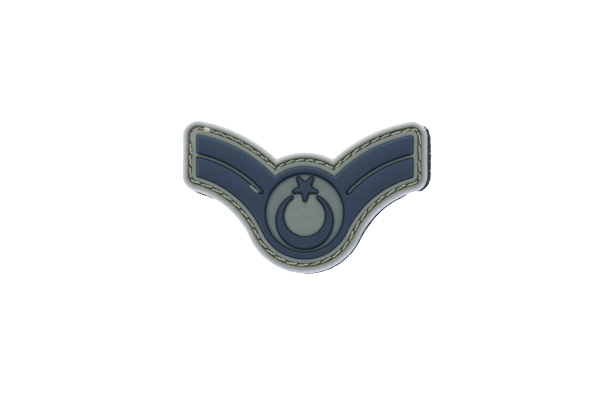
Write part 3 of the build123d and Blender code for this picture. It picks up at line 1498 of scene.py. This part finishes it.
    def pits(self, holes: Sequence[Hole]) -> Pits:
        """Return the needle holes' places and widths, gathered by whole millimetre.

        Args:
            holes: The needle holes.

        Returns:
            Each square's holes, with those of the squares beside it.
        """
        track = self.line.track()
        pits: Pits = {}
        for hole in holes:
            spot, _ = track.place(hole.along, hole.aside)
            spread = self.hole_spread + self.gape_spread * hole.gape
            for column in (-1, 0, 1):
                for row in (-1, 0, 1):
                    square = (round(spot[0]) + column, round(spot[1]) + row)
                    pits.setdefault(square, []).append((spot, spread))
        return pits

    def fill(self, x: float, y: float, margin: float) -> float:
        """Return how much of the fill lies at a place. It laps the lip and leaves a groove along the rim."""
        if not self.lip_width - self.fill_lap < margin < self.channel_edge:
            return 0.0
        groove = smooth((margin - self.lip_width - self.groove_start) / self.groove_fade)
        return (1 - self.groove_keep * groove) * self.line.filled(x, y)

    def level(self, x: float, y: float, stop: Stop, pits: Pits) -> float:
        """Return the surface's level at a place of the border.

        Args:
            x: The place's X.
            y: The place's Y.
            stop: The stop of the section that it lies on.
            pits: The needle holes.

        Returns:
            The level, with slow ripples, the fill and the needle holes.
        """
        z = self.back + stop.height
        if stop.height > self.still_height:
            z += self.ripple * wave(x, y, self.ripple_size, 0.0)
        fill = self.fill(x, y, stop.margin)
        if fill:
            full = self.back + self.fill_level
            full += self.fill_ripple * wave(x, y, self.fill_ripple_size, 2.0)
            z += fill * max(full - z, 0.0)
        if self.lip_width < stop.margin < self.channel_edge:
            for pit, spread in pits.get((round(x), round(y)), []):
                away = math.dist((x, y), pit) / spread
                z -= self.hole_depth * math.exp(-away * away / 2)
        return z

    def tone(self, x: float, y: float, stop: Stop, facing: float) -> float:
        """Return the finish's tone at a place of the border.

        Args:
            x: The place's X.
            y: The place's Y.
            stop: The stop of the section that it lies on.
            facing: How much the border looks to the right there, from -1 to 1.

        Returns:
            The tone, from -1 for painted shade to 1 for painted glow.
        """
        # Painted shade: the tape sticks out at the right end and keeps light from the table off the rim
        end = smooth((facing - self.end_facing) / self.end_turn)
        outer = smooth((stop.margin - self.border + self.shade_width) / self.shade_width)
        tone = stop.painted_glow * (1 - self.tape_shade * end) - self.edge_shade * end * outer
        return tone + self.fill_paleness * self.fill(x, y, stop.margin)

    def sweep(self, draft: MeshDraft, holes: Sequence[Hole]) -> None:
        """Sweep the border's section round the emblem and close it above and below.

        Args:
            draft: The body's draft.
            holes: The needle holes in the channel.
        """
        pits = self.pits(holes)
        rings = []
        for stop in self.rim_stops() + self.channel_stops() + self.lip_stops():
            line = self.border_line(stop.margin)
            points = [(x, y, self.level(x, y, stop, pits)) for (x, y), _ in line]
            tones = [self.tone(x, y, stop, out.x) for (x, y), out in line]
            rings.append(draft.ring(points, tones))
        draft.stack(rings)
        draft.cap(rings[0])
        draft.cap(rings[-1])

    def disc(self, draft: MeshDraft) -> None:
        """Raise the disc that the crescent and the star stand on.

        Args:
            draft: The floors' draft.
        """
        edge = self.emblem.disc_radius - self.fit
        low = self.back + self.pocket_floor - self.foot_drop
        high = self.back + self.disc_floor
        foot = draft.ring([(x, y, low) for x, y in circle(edge, self.disc_sides)])
        rim = draft.ring([(x, y, high) for x, y in circle(edge, self.disc_sides)], self.disc_tone(edge))
        draft.cap(foot)
        rings = [foot, rim]
        for radius in self.disc_radii:
            loop = circle(radius, self.disc_sides)
            points = [(x, y, high + self.ripple * wave(x, y, self.disc_ripple_size, 3.0)) for x, y in loop]
            rings.append(draft.ring(points, self.disc_tone(radius)))
        draft.stack(rings)
        draft.fan(rings[-1], (0.0, 0.0, high), self.disc_tone(0.0))

    def disc_tone(self, radius: float) -> float:
        """Return the disc's tone at a radius: painted shade, more outside the crescent, and more again at the
        ring's foot.
        """
        tone = -self.disc_shade
        for shade, start, width in self.disc_painted_shades:
            tone -= shade * smooth((radius - start) / width)
        return tone

    def slot_rib(self, draft: MeshDraft, side: int) -> None:
        """Raise the grey-green floor that shows in one wing's slot.

        Args:
            draft: The body's draft.
            side: 1 for the right wing, -1 for the left.
        """
        emblem = self.emblem
        wing = emblem.wing_centre
        mouth = emblem.mouth_radius
        half = emblem.slot_width / 2 - self.fit
        inner = emblem.crossing(emblem.slot_radius, emblem.ring_radius + emblem.slot_stop + half)
        outer = emblem.over(emblem.wing_reach + self.rib_lap, emblem.slot_radius)
        start = math.atan2(inner[1] - wing[1], inner[0] - wing[0])
        end = math.atan2(outer[1] - wing[1], outer[0] - wing[0])
        length = (start - end) * emblem.slot_radius
        low = self.pocket_floor - self.foot_drop
        rows: list[list[int]] = [[], [], [], []]
        for step in range(self.rib_steps + 1):
            share = step / self.rib_steps
            along = length * step / self.rib_steps
            if step < self.rib_end_steps:
                # The first steps crowd in the slot's round end
                along = length * smooth(share * 0.5) * 2
            turn = start - along / emblem.slot_radius
            wide = half * math.sqrt(max(1 - max(1 - along / half, 0.0) ** 2, self.rib_end_width**2))
            reach = abs(wing[0] + emblem.slot_radius * math.cos(turn))
            # The floor widens between the rounded corners of the two bars, and rises to the lip
            flare = min(max(reach - emblem.wing_reach + mouth, 0.0), mouth)
            wide += mouth - math.sqrt(mouth**2 - flare**2)
            to_lip = smooth((reach - emblem.wing_reach + self.rib_rise_width) / self.rib_rise_width)
            top = self.slot_floor + self.rib_rise * to_lip
            top += self.ripple * wave(reach, 10.0, self.rib_ripple_size, 0.0)
            corners = ((-wide, low), (-wide, top), (wide, top), (wide, low))
            for row, (offset, height) in zip(rows, corners):
                radius = emblem.slot_radius + offset
                x = side * (wing[0] + radius * math.cos(turn))
                y = wing[1] + radius * math.sin(turn)
                # Painted shade on the floor, less of it where the floor rises to the lip
                row += draft.ring([(x, y, self.back + height)], self.rib_painted_shade + self.rib_mouth_paler * to_lip)
        for below, above in zip(rows, rows[1:] + rows[:1]):
            draft.bridge(below, above, closed=False)
        draft.faces.append(tuple(row[0] for row in rows))
        draft.faces.append(tuple(row[-1] for row in rows))

    def dress(self, holes: Sequence[Hole]) -> bpy.types.Object:
        """Build the body's border and underside.

        Args:
            holes: The needle holes in its channel.

        Returns:
            The finished piece.
        """
        draft = MeshDraft()
        self.sweep(draft, holes)
        piece = draft.build("patch_body")
        settle(piece, GREY_GREEN, "body_pvc", "moulded_base")
        return piece

    def dress_floors(self) -> bpy.types.Object:
        """Build the parts of the body that show between the navy pieces.

        Returns:
            The finished piece.
        """
        draft = MeshDraft()
        self.disc(draft)
        for side in (-1, 1):
            self.slot_rib(draft, side)
        piece = draft.build("disc_and_slots")
        settle(piece, SUNK_GREEN, "body_pvc")
        return piece


# Navy relief

@dataclass(frozen=True)
class Shoulder:
    """How the wall of a raised piece turns over into its top."""

    lean: float = 0.06
    width: float = 0.8
    height: float = 0.38
    break_angle: float = 0.7
    steps: int = 12

    def stops(self, foot: float, straight: float, top: float) -> list[tuple[float, float]]:
        """Return insets from the edge, and levels.

        Args:
            foot: Level of the hidden underside.
            straight: Level up to which the wall is upright.
            top: Level of the crown.

        Returns:
            The stops from the underside to the crown.
        """
        stops = [(0.0, foot), (0.0, (foot + straight) / 2), (0.0, straight)]
        span = math.cos(self.break_angle)
        drop = 1 - math.sin(self.break_angle)
        for step in range(self.steps + 1):
            turn = self.break_angle + step / self.steps * (math.pi / 2 - self.break_angle)
            inset = self.lean + self.width * (1 - math.cos(turn) / span)
            stops.append((inset, top - self.height * (1 - math.sin(turn)) / drop))
        return stops


@dataclass(frozen=True)
class Relief:
    """A raised navy piece, built up from insets of its own outline."""

    name: str
    node: str
    shoulder: Shoulder = field(default_factory=Shoulder)
    wall_share: float = 0.6
    ripple: float = 0.014
    ripple_size: float = 3.5
    dark_width: float = 0.22
    fade_width: float = 0.45
    line_gain: float = 1.4
    line_start: float = -0.05
    start_shift: float = 0.5
    line_rise: float = 0.3
    line_hold: float = 0.4
    hold_shift: float = 0.3
    line_fall: float = 0.46

    def shade(self, x: float, y: float) -> float:
        """Return how much painted shade the edge has at a place: 0 for a painted highlight line instead, 1 or
        more where the wall is deep.
        """
        return 1.0

    def loops(self, inset: float) -> list[Loop]:
        """Return the outline at an inset, the outside first and then any hole."""
        raise NotImplementedError

    def tone(self, x: float, y: float, inset: float) -> float:
        """Return the finish's tone: painted shade at the edge of a deep wall, with a painted highlight line
        along the others.

        Args:
            x: The place's X.
            y: The place's Y.
            inset: How far in from the edge it lies.

        Returns:
            The tone, from -1 for painted shade to 1 for painted highlight.
        """
        shade = min(self.shade(x, y), 1.0)
        depth = 1 - smooth((inset - self.dark_width) / self.fade_width)
        # The painted highlight line lies further in where the edge has painted shade
        rise = smooth((inset - self.line_start - self.start_shift * shade) / self.line_rise)
        shift = self.hold_shift * shade
        fall = smooth((inset - self.line_hold - shift) / (self.line_fall - shift))
        glow = rise * (1 - fall) * min(self.line_gain * (1 - shade), 1.0)
        return glow - depth * shade

    def dress(self) -> bpy.types.Object:
        """Build the piece between the levels of its CAD node.

        Returns:
            The finished piece.
        """
        low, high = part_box(self.node)
        foot = low.z / MM
        top = high.z / MM
        straight = foot + (top - foot) * self.wall_share
        draft = MeshDraft()
        floors: list[list[list[int]]] = []
        for inset, level in self.shoulder.stops(foot, straight, top - self.ripple):
            # The hidden wall is plain, and only the rounded top ripples
            ripple = self.ripple if level > straight else 0.0
            rings = []
            for loop in self.loops(inset):
                points = [(x, y, level + ripple * wave(x, y, self.ripple_size, 7.0)) for x, y in loop]
                rings.append(draft.ring(points, [self.tone(x, y, inset) for x, y in loop]))
            floors.append(rings)
        draft.cap(*floors[0])
        for below, above in zip(floors, floors[1:]):
            for lower, upper in zip(below, above):
                draft.bridge(lower, upper)
        draft.cap(*floors[-1])
        piece = draft.build(self.name, sharp=35.0)
        settle(piece, NAVY, "relief_pvc", self.node)
        return piece


@dataclass(frozen=True)
class Chevrons(Relief):
    """The bars of both wings and the ring round the disc, in one piece."""

    name: str = "navy_chevrons"
    node: str = "chevron_relief"
    emblem: Emblem = field(default_factory=Emblem)
    low_shade: float = 0.5
    low_width: float = 1.2
    # Painted shade below and above the slot. More than 1 keeps the edge fully dark for longer as the shade
    # fades
    slot_shades: tuple[float, float] = (1.15, 0.9)
    slot_width: float = 0.9
    slot_fade: float = 0.5
    end_width: float = 1.6
    corner_width: float = 1.6
    corner_fade: float = 1.0
    disc_sides: int = 360

    def shade(self, x: float, y: float) -> float:
        """Return how much painted shade the edge has: most by the disc and the slots, less where it looks
        down or right.

        Args:
            x: The place's X.
            y: The place's Y.

        Returns:
            The shade, which may be a little more than 1.
        """
        emblem = self.emblem
        if math.hypot(x, y) < (emblem.disc_radius + emblem.ring_radius) / 2:
            return 1.0
        out = math.dist((abs(x), y), emblem.wing_centre)
        to_end = smooth((emblem.wing_reach - abs(x)) / self.end_width)
        if y < 0 or out < emblem.low_radius + self.low_width:
            return self.low_shade * (1.0 if x > 0 else to_end)
        aside = out - emblem.slot_radius
        off_slot = smooth((abs(aside) - self.slot_width) / self.slot_fade)
        by_slot = self.slot_shades[aside > 0] * (1 - off_slot) * to_end
        to_corner = smooth((out - emblem.high_radius + self.corner_width) / self.corner_fade)
        by_end = self.low_shade * (1 - to_end) * (1 - to_corner)
        return max(by_slot, by_end) if x > 0 else by_slot

    def loops(self, inset: float) -> list[Loop]:
        """Return the outline of the bars with their slots, and the disc's edge."""
        hole = circle(self.emblem.disc_radius + inset, self.disc_sides)
        return [self.emblem.bars_loop(inset), hole]


@dataclass(frozen=True)
class Figure(Relief):
    """A figure on the disc with round tips, whose outline is laid out in legs."""

    tip_radius: float = 0.7
    least_tip: float = 0.02
    spacing: float = 0.1

    def legs(self, inset: float) -> list[Leg]:
        """Return the legs of the outline at an inset."""
        raise NotImplementedError

    def loops(self, inset: float) -> list[Loop]:
        """Return the outline at an inset, which stops short of the tips' middles."""
        plain = self.legs(0.0)
        legs = self.legs(min(inset, self.tip_radius - self.least_tip))
        return [walk(legs, legs[0].start, leg_counts(plain, plain[0].start, self.spacing))]


@dataclass(frozen=True)
class Crescent(Figure):
    """The crescent, horns up: an open ring that is thicker below."""

    name: str = "navy_crescent"
    node: str = "crescent_relief"
    outer_radius: float = 8.3
    outer_centre: Point = (0.0, -2.27)
    inner_radius: float = 5.78
    inner_centre: Point = (0.0, -0.88)
    horn: Point = (3.835, 4.359)
    tip_radius: float = 0.642
    spacing: float = 0.16

    def legs(self, inset: float) -> list[Leg]:
        """Return the legs of the outline: outer edge, right horn, inner edge and left horn.

        Args:
            inset: How far in from the edge the outline lies.

        Returns:
            The legs in order.
        """
        right = self.horn
        left = (-self.horn[0], self.horn[1])
        outer = self.outer_radius - inset
        inner = self.inner_radius + inset
        return [
            Leg(beyond(self.outer_centre, outer, left), Bend.LEFT, self.outer_centre),
            Leg(beyond(self.outer_centre, outer, right), Bend.LEFT, right),
            Leg(beyond(self.inner_centre, inner, right), Bend.RIGHT, self.inner_centre),
            Leg(beyond(self.inner_centre, inner, left), Bend.LEFT, left),
        ]


@dataclass(frozen=True)
class Star(Figure):
    """The five-armed star with round arm ends, one arm pointing down."""

    name: str = "navy_star"
    node: str = "star_relief"
    arms: int = 5
    centre: Point = (0.1, 7.0)
    tip_distance: float = 3.28
    waist: float = 1.95
    waist_round: float = 0.22

    def turned(self, spoke: Point, turn: float) -> Point:
        """Return a point of an arm that lies along X, turned to that arm's own direction.

        Args:
            spoke: The point, as seen from the star's middle.
            turn: The arm's direction.

        Returns:
            The point in plan.
        """
        x, y = spoke
        return (
            self.centre[0] + x * math.cos(turn) - y * math.sin(turn),
            self.centre[1] + x * math.sin(turn) + y * math.cos(turn),
        )

    def legs(self, inset: float) -> list[Leg]:
        """Return the legs of the outline: a tip, a side, a waist and a side for each arm.

        Args:
            inset: How far in from the edge the outline lies.

        Returns:
            The legs in order.
        """
        half = math.pi / self.arms
        corner = (self.waist * math.cos(half), self.waist * math.sin(half))
        to_tip = math.hypot(self.tip_distance - corner[0], corner[1])
        lean = math.asin(self.tip_radius / to_tip) - math.atan2(corner[1], self.tip_distance - corner[0])
        # The side leans by this much from the arm's own direction
        face = (-math.sin(lean), math.cos(lean))
        tip = self.tip_radius - inset
        bend = self.waist_round + inset
        opening = half - lean
        pivot_distance = self.waist + self.waist_round / math.sin(opening)
        pivot = (pivot_distance * math.cos(half), pivot_distance * math.sin(half))
        outer = self.tip_distance + tip * face[0]
        inner = (pivot[0] - bend * face[0], pivot[1] - bend * face[1])
        legs = []
        for arm in range(self.arms):
            turn = 2 * half * arm - math.pi / 2
            middle = self.turned((self.tip_distance, 0.0), turn)
            legs.append(Leg(self.turned((outer, -tip * face[1]), turn), Bend.LEFT, middle))
            legs.append(Leg(self.turned((outer, tip * face[1]), turn), Bend.STRAIGHT))
            legs.append(Leg(self.turned(inner, turn), Bend.RIGHT, self.turned(pivot, turn)))
            legs.append(Leg(self.turned((inner[0], -inner[1]), turn + 2 * half), Bend.STRAIGHT))
        return legs


@dataclass(frozen=True)
class SlotFlash:
    """A tongue of grey-green that ran over the lower bar at the end of the left slot."""

    start: Point = (-15.6, 7.75)
    end: Point = (-13.1, 5.6)
    bow: float = 0.12
    width: float = 0.37
    level: float = 4.12
    thickness: float = 0.24
    bluntness: int = 6
    least_share: float = 0.02
    steps: int = 24
    sides: int = 20

    def path(self) -> list[Vector]:
        """Return the tongue's middle line, which bows a little to the lower left.

        Returns:
            The points in order.
        """
        path = []
        for step in range(self.steps + 1):
            share = step / self.steps
            bow = self.bow * math.sin(math.pi * share)
            x = self.start[0] + (self.end[0] - self.start[0]) * share - bow
            y = self.start[1] + (self.end[1] - self.start[1]) * share - bow
            path.append(Vector((x, y, self.level)))
        return path

    def radius(self, step: int, angle: float) -> float:
        """Return the radius of a flat tongue that is blunt at its ends."""
        blunt = math.sqrt(max(1 - abs(2 * step / self.steps - 1) ** self.bluntness, self.least_share))
        flat = math.hypot(self.thickness * math.cos(angle), self.width * math.sin(angle))
        return self.width * self.thickness / flat * blunt

    def dress(self) -> bpy.types.Object:
        """Build the tongue.

        Returns:
            The finished piece.
        """
        draft = MeshDraft()
        draft.tube(self.path(), self.radius, self.sides)
        piece = draft.build("slot_flash", sharp=80.0)
        settle(piece, SUNK_GREEN, "body_pvc")
        return piece


# Hook tape

@dataclass(frozen=True)
class HookTape:
    """The backing's woven ground, with its ragged cut edge."""

    emblem: Emblem
    border: float = 3.9
    inset: float = 0.2
    shift: Point = (0.55, -0.28)
    overhang: float = 1.15
    corner: float = 5.0
    ground: float = 0.5
    core: float = 0.5
    # The cut edge's rounding above and below: distance in from the edge, and level from that face
    upper_round: tuple[Point, ...] = ((0.1, 0.0), (0.02, 0.08))
    lower_round: tuple[Point, ...] = ((0.03, 0.08), (0.12, 0.0))
    rag: float = 0.07
    end_rag: float = 0.2
    end_start: float = 31.0
    end_width: float = 3.0
    coarse_size: float = 0.9
    coarse_share: float = 1.5
    fine_size: float = 0.28
    fine_share: float = 0.8
    # Where the cut strays outward: the place, by how much, and how far to both sides
    strays: tuple[tuple[Point, float, float], ...] = (
        ((-28.7, 5.3), 0.42, 6.5),
        ((18.8, -3.0), 0.14, 6.0),
        ((31.0, 5.4), -0.6, 2.6),
        ((34.6, 24.5), 0.4, 3.2),
    )

    @cached_property
    def top(self) -> float:
        """Level of the tape's face, which the moulding is sewn to."""
        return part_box("hook_backing")[1].z / MM

    @property
    def underside(self) -> float:
        """Level of the ground's underside, which the hooks grow from."""
        return self.top - self.ground

    def loop(self, margin: float) -> Loop:
        """Return the cut edge, moved in or out by a margin, without its raggedness.

        Args:
            margin: How far outward it is moved.

        Returns:
            The points in order.
        """
        emblem = self.emblem
        around = self.border - self.inset + margin
        left = Contour(around, emblem.wing_reach + around, self.corner, emblem.notch_radius)
        reach = emblem.wing_reach + self.border + self.overhang - self.shift[0] + margin
        right = Contour(around, reach, self.corner, emblem.notch_radius)
        line = emblem.loop(right, left, emblem.pattern)
        return [(x + self.shift[0], y + self.shift[1]) for x, y in line]

    @property
    def flat(self) -> Point:
        """Width and length in metres of the piece of tape that the backing is cut from."""
        line = self.loop(0.0)
        return tuple(MM * (max(p[axis] for p in line) - min(p[axis] for p in line)) for axis in (0, 1))

    def cut_area(self) -> float:
        """Return the backing's own flat area in square metres."""
        line = self.loop(0.0)
        doubled = sum(a[0] * b[1] - b[0] * a[1] for a, b in zip(line, line[1:] + line[:1]))
        return doubled / 2 * MM**2

    def tatter(self, x: float, y: float) -> float:
        """Return how far the cut edge strays outward at a place.

        Args:
            x: The place's X.
            y: The place's Y.

        Returns:
            The distance, less than 0 where it strays inward.
        """
        coarse = wave(x, y, self.coarse_size, 11.0)
        fine = wave(x, y, self.fine_size, 4.0)
        depth = self.rag + (self.end_rag - self.rag) * smooth((x - self.end_start) / self.end_width)
        stray = sum(out * (1 - smooth(math.dist((x, y), place) / reach)) for place, out, reach in self.strays)
        return depth * (self.coarse_share * coarse + self.fine_share * fine) + stray

    def section(self) -> list[Point]:
        """Return the cut edge's section from the top down: distances in from it, and levels.

        Returns:
            The stops in order.
        """
        high = self.top
        low = self.underside
        return [
            (self.core, high),
            *((inset, high - drop) for inset, drop in self.upper_round),
            (0.0, (low + high) / 2),
            *((inset, low + rise) for inset, rise in self.lower_round),
            (self.core, low),
        ]

    def dress(self) -> bpy.types.Object:
        """Build the woven ground.

        Returns:
            The finished piece.
        """
        track = Track(self.loop(0.0))
        draft = MeshDraft()
        rings = []
        for inset, level in self.section():
            ring = []
            for mark, (x, y) in zip(track.marks, track.loop):
                ragged = self.tatter(x, y) if inset < self.core else 0.0
                (px, py), _ = track.place(mark, ragged - inset)
                ring.append((px, py, level))
            rings.append(draft.ring(ring))
        draft.stack(rings)
        draft.cap(rings[0])
        draft.cap(rings[-1])
        piece = draft.build("tape_ground")
        settle(piece, TAPE_GROUND, "hook_tape", "hook_backing")
        self.flat
        self.cut_area()
        return piece


@dataclass(frozen=True)
class HookRows:
    """The rows of hooks under the ground. They leave the seam's line free."""

    tape: HookTape
    line: SeamLine
    rows: range = range(-17, 26)
    columns: range = range(-30, 32)
    row_pitch: float = 1.08
    hook_pitch: float = 1.2
    edge_clear: float = 0.45
    seam_clear: float = 0.5
    radius: float = 0.09
    bend: float = 0.26
    root: float = 0.12
    shank_share: float = 0.55
    curl: float = math.radians(205)
    curl_steps: int = 6
    tip_share: float = 0.72
    sides: int = 6
    along_play: float = 0.1
    across_play: float = 0.08
    turn_play: float = 0.2
    tilt_play: float = 0.05

    def hook(self, length: float) -> MeshDraft:
        """Return one hook, with its foot at the origin, that hangs down and curls towards +X.

        Args:
            length: How far down it reaches.

        Returns:
            A draft of its mesh.
        """
        straight = length - self.bend - self.radius
        path = [Vector((0.0, 0.0, level)) for level in (self.root, -straight * self.shank_share, -straight)]
        for step in range(1, self.curl_steps + 1):
            turn = step / self.curl_steps * self.curl
            x = self.bend - self.bend * math.cos(turn)
            path.append(Vector((x, 0.0, -straight - self.bend * math.sin(turn))))
        draft = MeshDraft()
        last = len(path) - 1
        draft.tube(path, lambda i, angle: self.radius * (self.tip_share if i == last else 1.0), self.sides)
        return draft

    def dress(self) -> bpy.types.Object:
        """Build the rows.

        Returns:
            The finished piece.
        """
        root = self.tape.underside
        draw = random.Random(SEED + 2)
        # Every fourth and every third point of these lines is near enough
        edge = self.tape.loop(-self.edge_clear)[::4]
        seam = self.line.track().loop[::3]
        hook = self.hook(root)
        points = [Vector(point) for point in hook.points]
        draft = MeshDraft()
        for row in self.rows:
            y = row * self.row_pitch
            odd = row % 2
            facing = 0.0 if odd else math.pi
            for step in self.columns:
                x = (step + 0.5 * odd) * self.hook_pitch + draw.uniform(-self.along_play, self.along_play)
                spot = (x, y + draw.uniform(-self.across_play, self.across_play))
                turn = facing + draw.gauss(0.0, self.turn_play)
                tilt = draw.gauss(0.0, self.tilt_play)
                if not inside(edge, spot) or min(math.dist(spot, place) for place in seam) < self.seam_clear:
                    continue
                place = Matrix.Translation((*spot, root)) @ Matrix.Rotation(turn, 4, "Z")
                place @= Matrix.Rotation(tilt, 4, "X")
                draft.stamp(points, hook.faces, place)
        piece = draft.build("tape_hooks", sharp=80.0)
        settle(piece, HOOK_NYLON, "hook_tape")
        return piece


@dataclass(frozen=True)
class Fray:
    """The loose fibres along the cut edge, most of them at the right end."""

    tape: HookTape
    end_start: float = 33.0
    end_gaps: Point = (0.14, 0.4)
    gaps: Point = (1.2, 3.2)
    top_share: float = 0.5
    top_roots: Point = (0.6, 1.0)
    top_rise: float = 0.03
    root: float = 0.3
    end_lengths: Point = (0.1, 0.4)
    lengths: Point = (-0.1, 0.1)
    curls: Point = (-0.5, 0.5)
    drops: Point = (-0.35, 0.1)
    depths: Point = (0.25, 0.75)
    radii: Point = (0.035, 0.06)
    taper: float = 0.05
    steps: int = 7
    sides: int = 6

    def fibre(
        self, track: Track, along: float, at_end: bool, draw: random.Random
    ) -> tuple[list[Vector], float]:
        """Lay one fibre.

        Args:
            track: The cut edge.
            along: How far along the edge the fibre comes out.
            at_end: Whether it lies at the right end, where some fibres lie on the tape's face.
            draw: Where its lengths are drawn from.

        Returns:
            The points of its middle line, and its radius.
        """
        (x, y), way = track.place(along)
        out = Vector((way[1], -way[0], 0.0))
        run = Vector((way[0], way[1], 0.0))
        on_top = at_end and draw.random() < self.top_share
        inward = draw.uniform(*self.top_roots) if on_top else self.root
        length = inward + draw.uniform(*(self.end_lengths if at_end else self.lengths))
        curl = draw.uniform(*self.curls)
        drop = draw.uniform(*self.drops)
        level = self.tape.top
        level += self.top_rise if on_top else -self.tape.ground * draw.uniform(*self.depths)
        base = Vector((x, y, level))
        path = []
        for step in range(self.steps + 1):
            share = step / self.steps
            reach = length * share - inward
            path.append(base + out * reach + run * curl * share**2 + Vector((0, 0, drop * share**2)))
        return path, draw.uniform(*self.radii)

    def dress(self) -> bpy.types.Object:
        """Build the fibres.

        Returns:
            The finished piece.
        """
        draw = random.Random(SEED + 3)
        track = Track(self.tape.loop(0.0))
        draft = MeshDraft()
        along = 0.0
        while along < track.length:
            root = along
            at_end = track.place(root)[0][0] > self.end_start
            along += draw.uniform(*(self.end_gaps if at_end else self.gaps))
            path, thick = self.fibre(track, root, at_end, draw)
            draft.tube(path, lambda i, angle: thick * (1 - self.taper * i), self.sides)
        piece = draft.build("tape_fray", sharp=80.0)
        settle(piece, LOOSE_NYLON, "hook_tape")
        return piece


def inside(loop: Loop, spot: Point) -> bool:
    """Return whether a spot lies within a closed line.

    Args:
        loop: The line's points in order.
        spot: The spot.

    Returns:
        Whether it lies inside.
    """
    x, y = spot
    found = False
    for (ax, ay), (bx, by) in zip(loop, loop[1:] + loop[:1]):
        if (ay > y) != (by > y) and x < ax + (bx - ax) * (y - ay) / (by - ay):
            found = not found
    return found


# Studio

@dataclass(frozen=True)
class SoftBox:
    """A square soft light, placed by its direction from the patch."""

    name: str
    azimuth: float
    elevation: float
    distance: float
    size: float
    power: float
    colour: Colour = (1.0, 1.0, 1.0)

    def hang(self) -> None:
        """Hang the light, facing the patch."""
        light = bpy.data.lights.new(self.name, "AREA")
        light.size = self.size
        light.energy = self.power
        light.color = self.colour
        away = outward(self.azimuth, self.elevation) * self.distance
        lamp = bpy.data.objects.new(self.name, light)
        lamp.location = away
        lamp.rotation_euler = away.to_track_quat("Z", "Y").to_euler()
        bpy.context.scene.collection.objects.link(lamp)


def outward(azimuth: float, elevation: float) -> Vector:
    """Return the direction from the patch at an azimuth from the camera's side, in degrees."""
    turn = math.radians(azimuth - 90)
    rise = math.radians(elevation)
    return Vector((math.cos(turn) * math.cos(rise), math.sin(turn) * math.cos(rise), math.sin(rise)))


@dataclass(frozen=True)
class Studio:
    """Camera, soft lights and a plain pale table."""

    elevation: float = 87.0
    roll: float = 0.24
    lens: float = 85.0
    distance: float = 0.411
    aim: Point = (0.38, 2.62)
    aim_level: float = 3.6
    table_size: float = 3.0
    table_drop: float = 0.02
    sky: float = 0.17

    def stand_camera(self) -> None:
        """Stand the camera over the patch as in the photograph."""
        data = bpy.data.cameras.new("camera")
        data.lens = self.lens
        data.sensor_width = 36.0
        data.clip_start = 0.01
        camera = bpy.data.objects.new("camera", data)
        away = outward(0.0, self.elevation)
        camera.location = Vector((*self.aim, self.aim_level)) * MM + away * self.distance
        look = away.to_track_quat("Z", "Y") @ Matrix.Rotation(math.radians(self.roll), 4, "Z").to_quaternion()
        camera.rotation_euler = look.to_euler()
        bpy.context.scene.collection.objects.link(camera)
        bpy.context.scene.camera = camera

    def lay_table(self) -> None:
        """Lay the table that the patch rests on."""
        draft = MeshDraft()
        half = self.table_size / 2 / MM
        corners = ((-half, -half), (half, -half), (half, half), (-half, half))
        top = draft.ring([(x, y, -self.table_drop) for x, y in corners])
        draft.faces.append(tuple(top))
        table = draft.build("table")
        table.data.materials.append(PaleTable().material())

    def light(self) -> None:
        """Hang the lights, and set an even pale surround."""
        for box in (
            SoftBox("top_light", 180.0, 43.0, 0.7, 0.62, 3.8, (1.0, 1.0, 0.96)),
            SoftBox("left_light", 270.0, 40.0, 0.7, 0.14, 1.6),
            SoftBox("right_light", 90.0, 45.0, 0.7, 0.1, 0.8, (0.84, 0.88, 1.0)),
            SoftBox("near_light", 10.0, 27.0, 0.8, 0.3, 1.5, (0.74, 0.78, 1.0)),
            SoftBox("low_light", 58.0, 12.0, 0.7, 0.3, 0.8, (0.52, 0.62, 1.0)),
        ):
            box.hang()
        world = bpy.data.worlds.new("surround")
        world.use_nodes = True
        sky = world.node_tree.nodes["Background"]
        sky.inputs["Color"].default_value = (1.0, 1.0, 1.0, 1.0)
        sky.inputs["Strength"].default_value = self.sky
        bpy.context.scene.world = world
        bpy.context.scene.view_settings.view_transform = "Standard"

    def set_up(self) -> None:
        """Set up the whole studio."""
        self.stand_camera()
        self.lay_table()
        self.light()


def report(piece: bpy.types.Object) -> None:
    """Report a finished piece."""
    piece.data.calc_loop_triangles()
    log.info("%s: %d triangles", piece.name, len(piece.data.loop_triangles))


def main() -> None:
    """Build the patch piece by piece and stand it in the studio."""
    logging.basicConfig(level=logging.INFO, format="%(name)s: %(message)s")
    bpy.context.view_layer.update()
    emblem = Emblem()
    line = SeamLine(emblem)
    holes = line.holes()
    lap_holes = line.lap_holes()
    body = MouldedBody(emblem, line)
    report(body.dress(holes + lap_holes))
    report(body.dress_floors())
    tape = HookTape(emblem)
    floor = body.back + body.channel_floor
    tie = Hole(line.track().nearest(line.tie), 0.0)
    for part in (
        Chevrons(emblem=emblem),
        Crescent(),
        Star(),
        SlotFlash(),
        tape,
        HookRows(tape, line),
        Fray(tape),
        StitchRow("seam_top", line, holes, floor),
        LapRow("seam_lap", line, lap_holes, floor),
        TieOff("seam_tie", line, [tie], floor),
        BobbinRow("seam_bobbin", line, holes, tape.underside),
    ):
        report(part.dress())
    Studio().set_up()


if __name__ == "__main__":
    main()
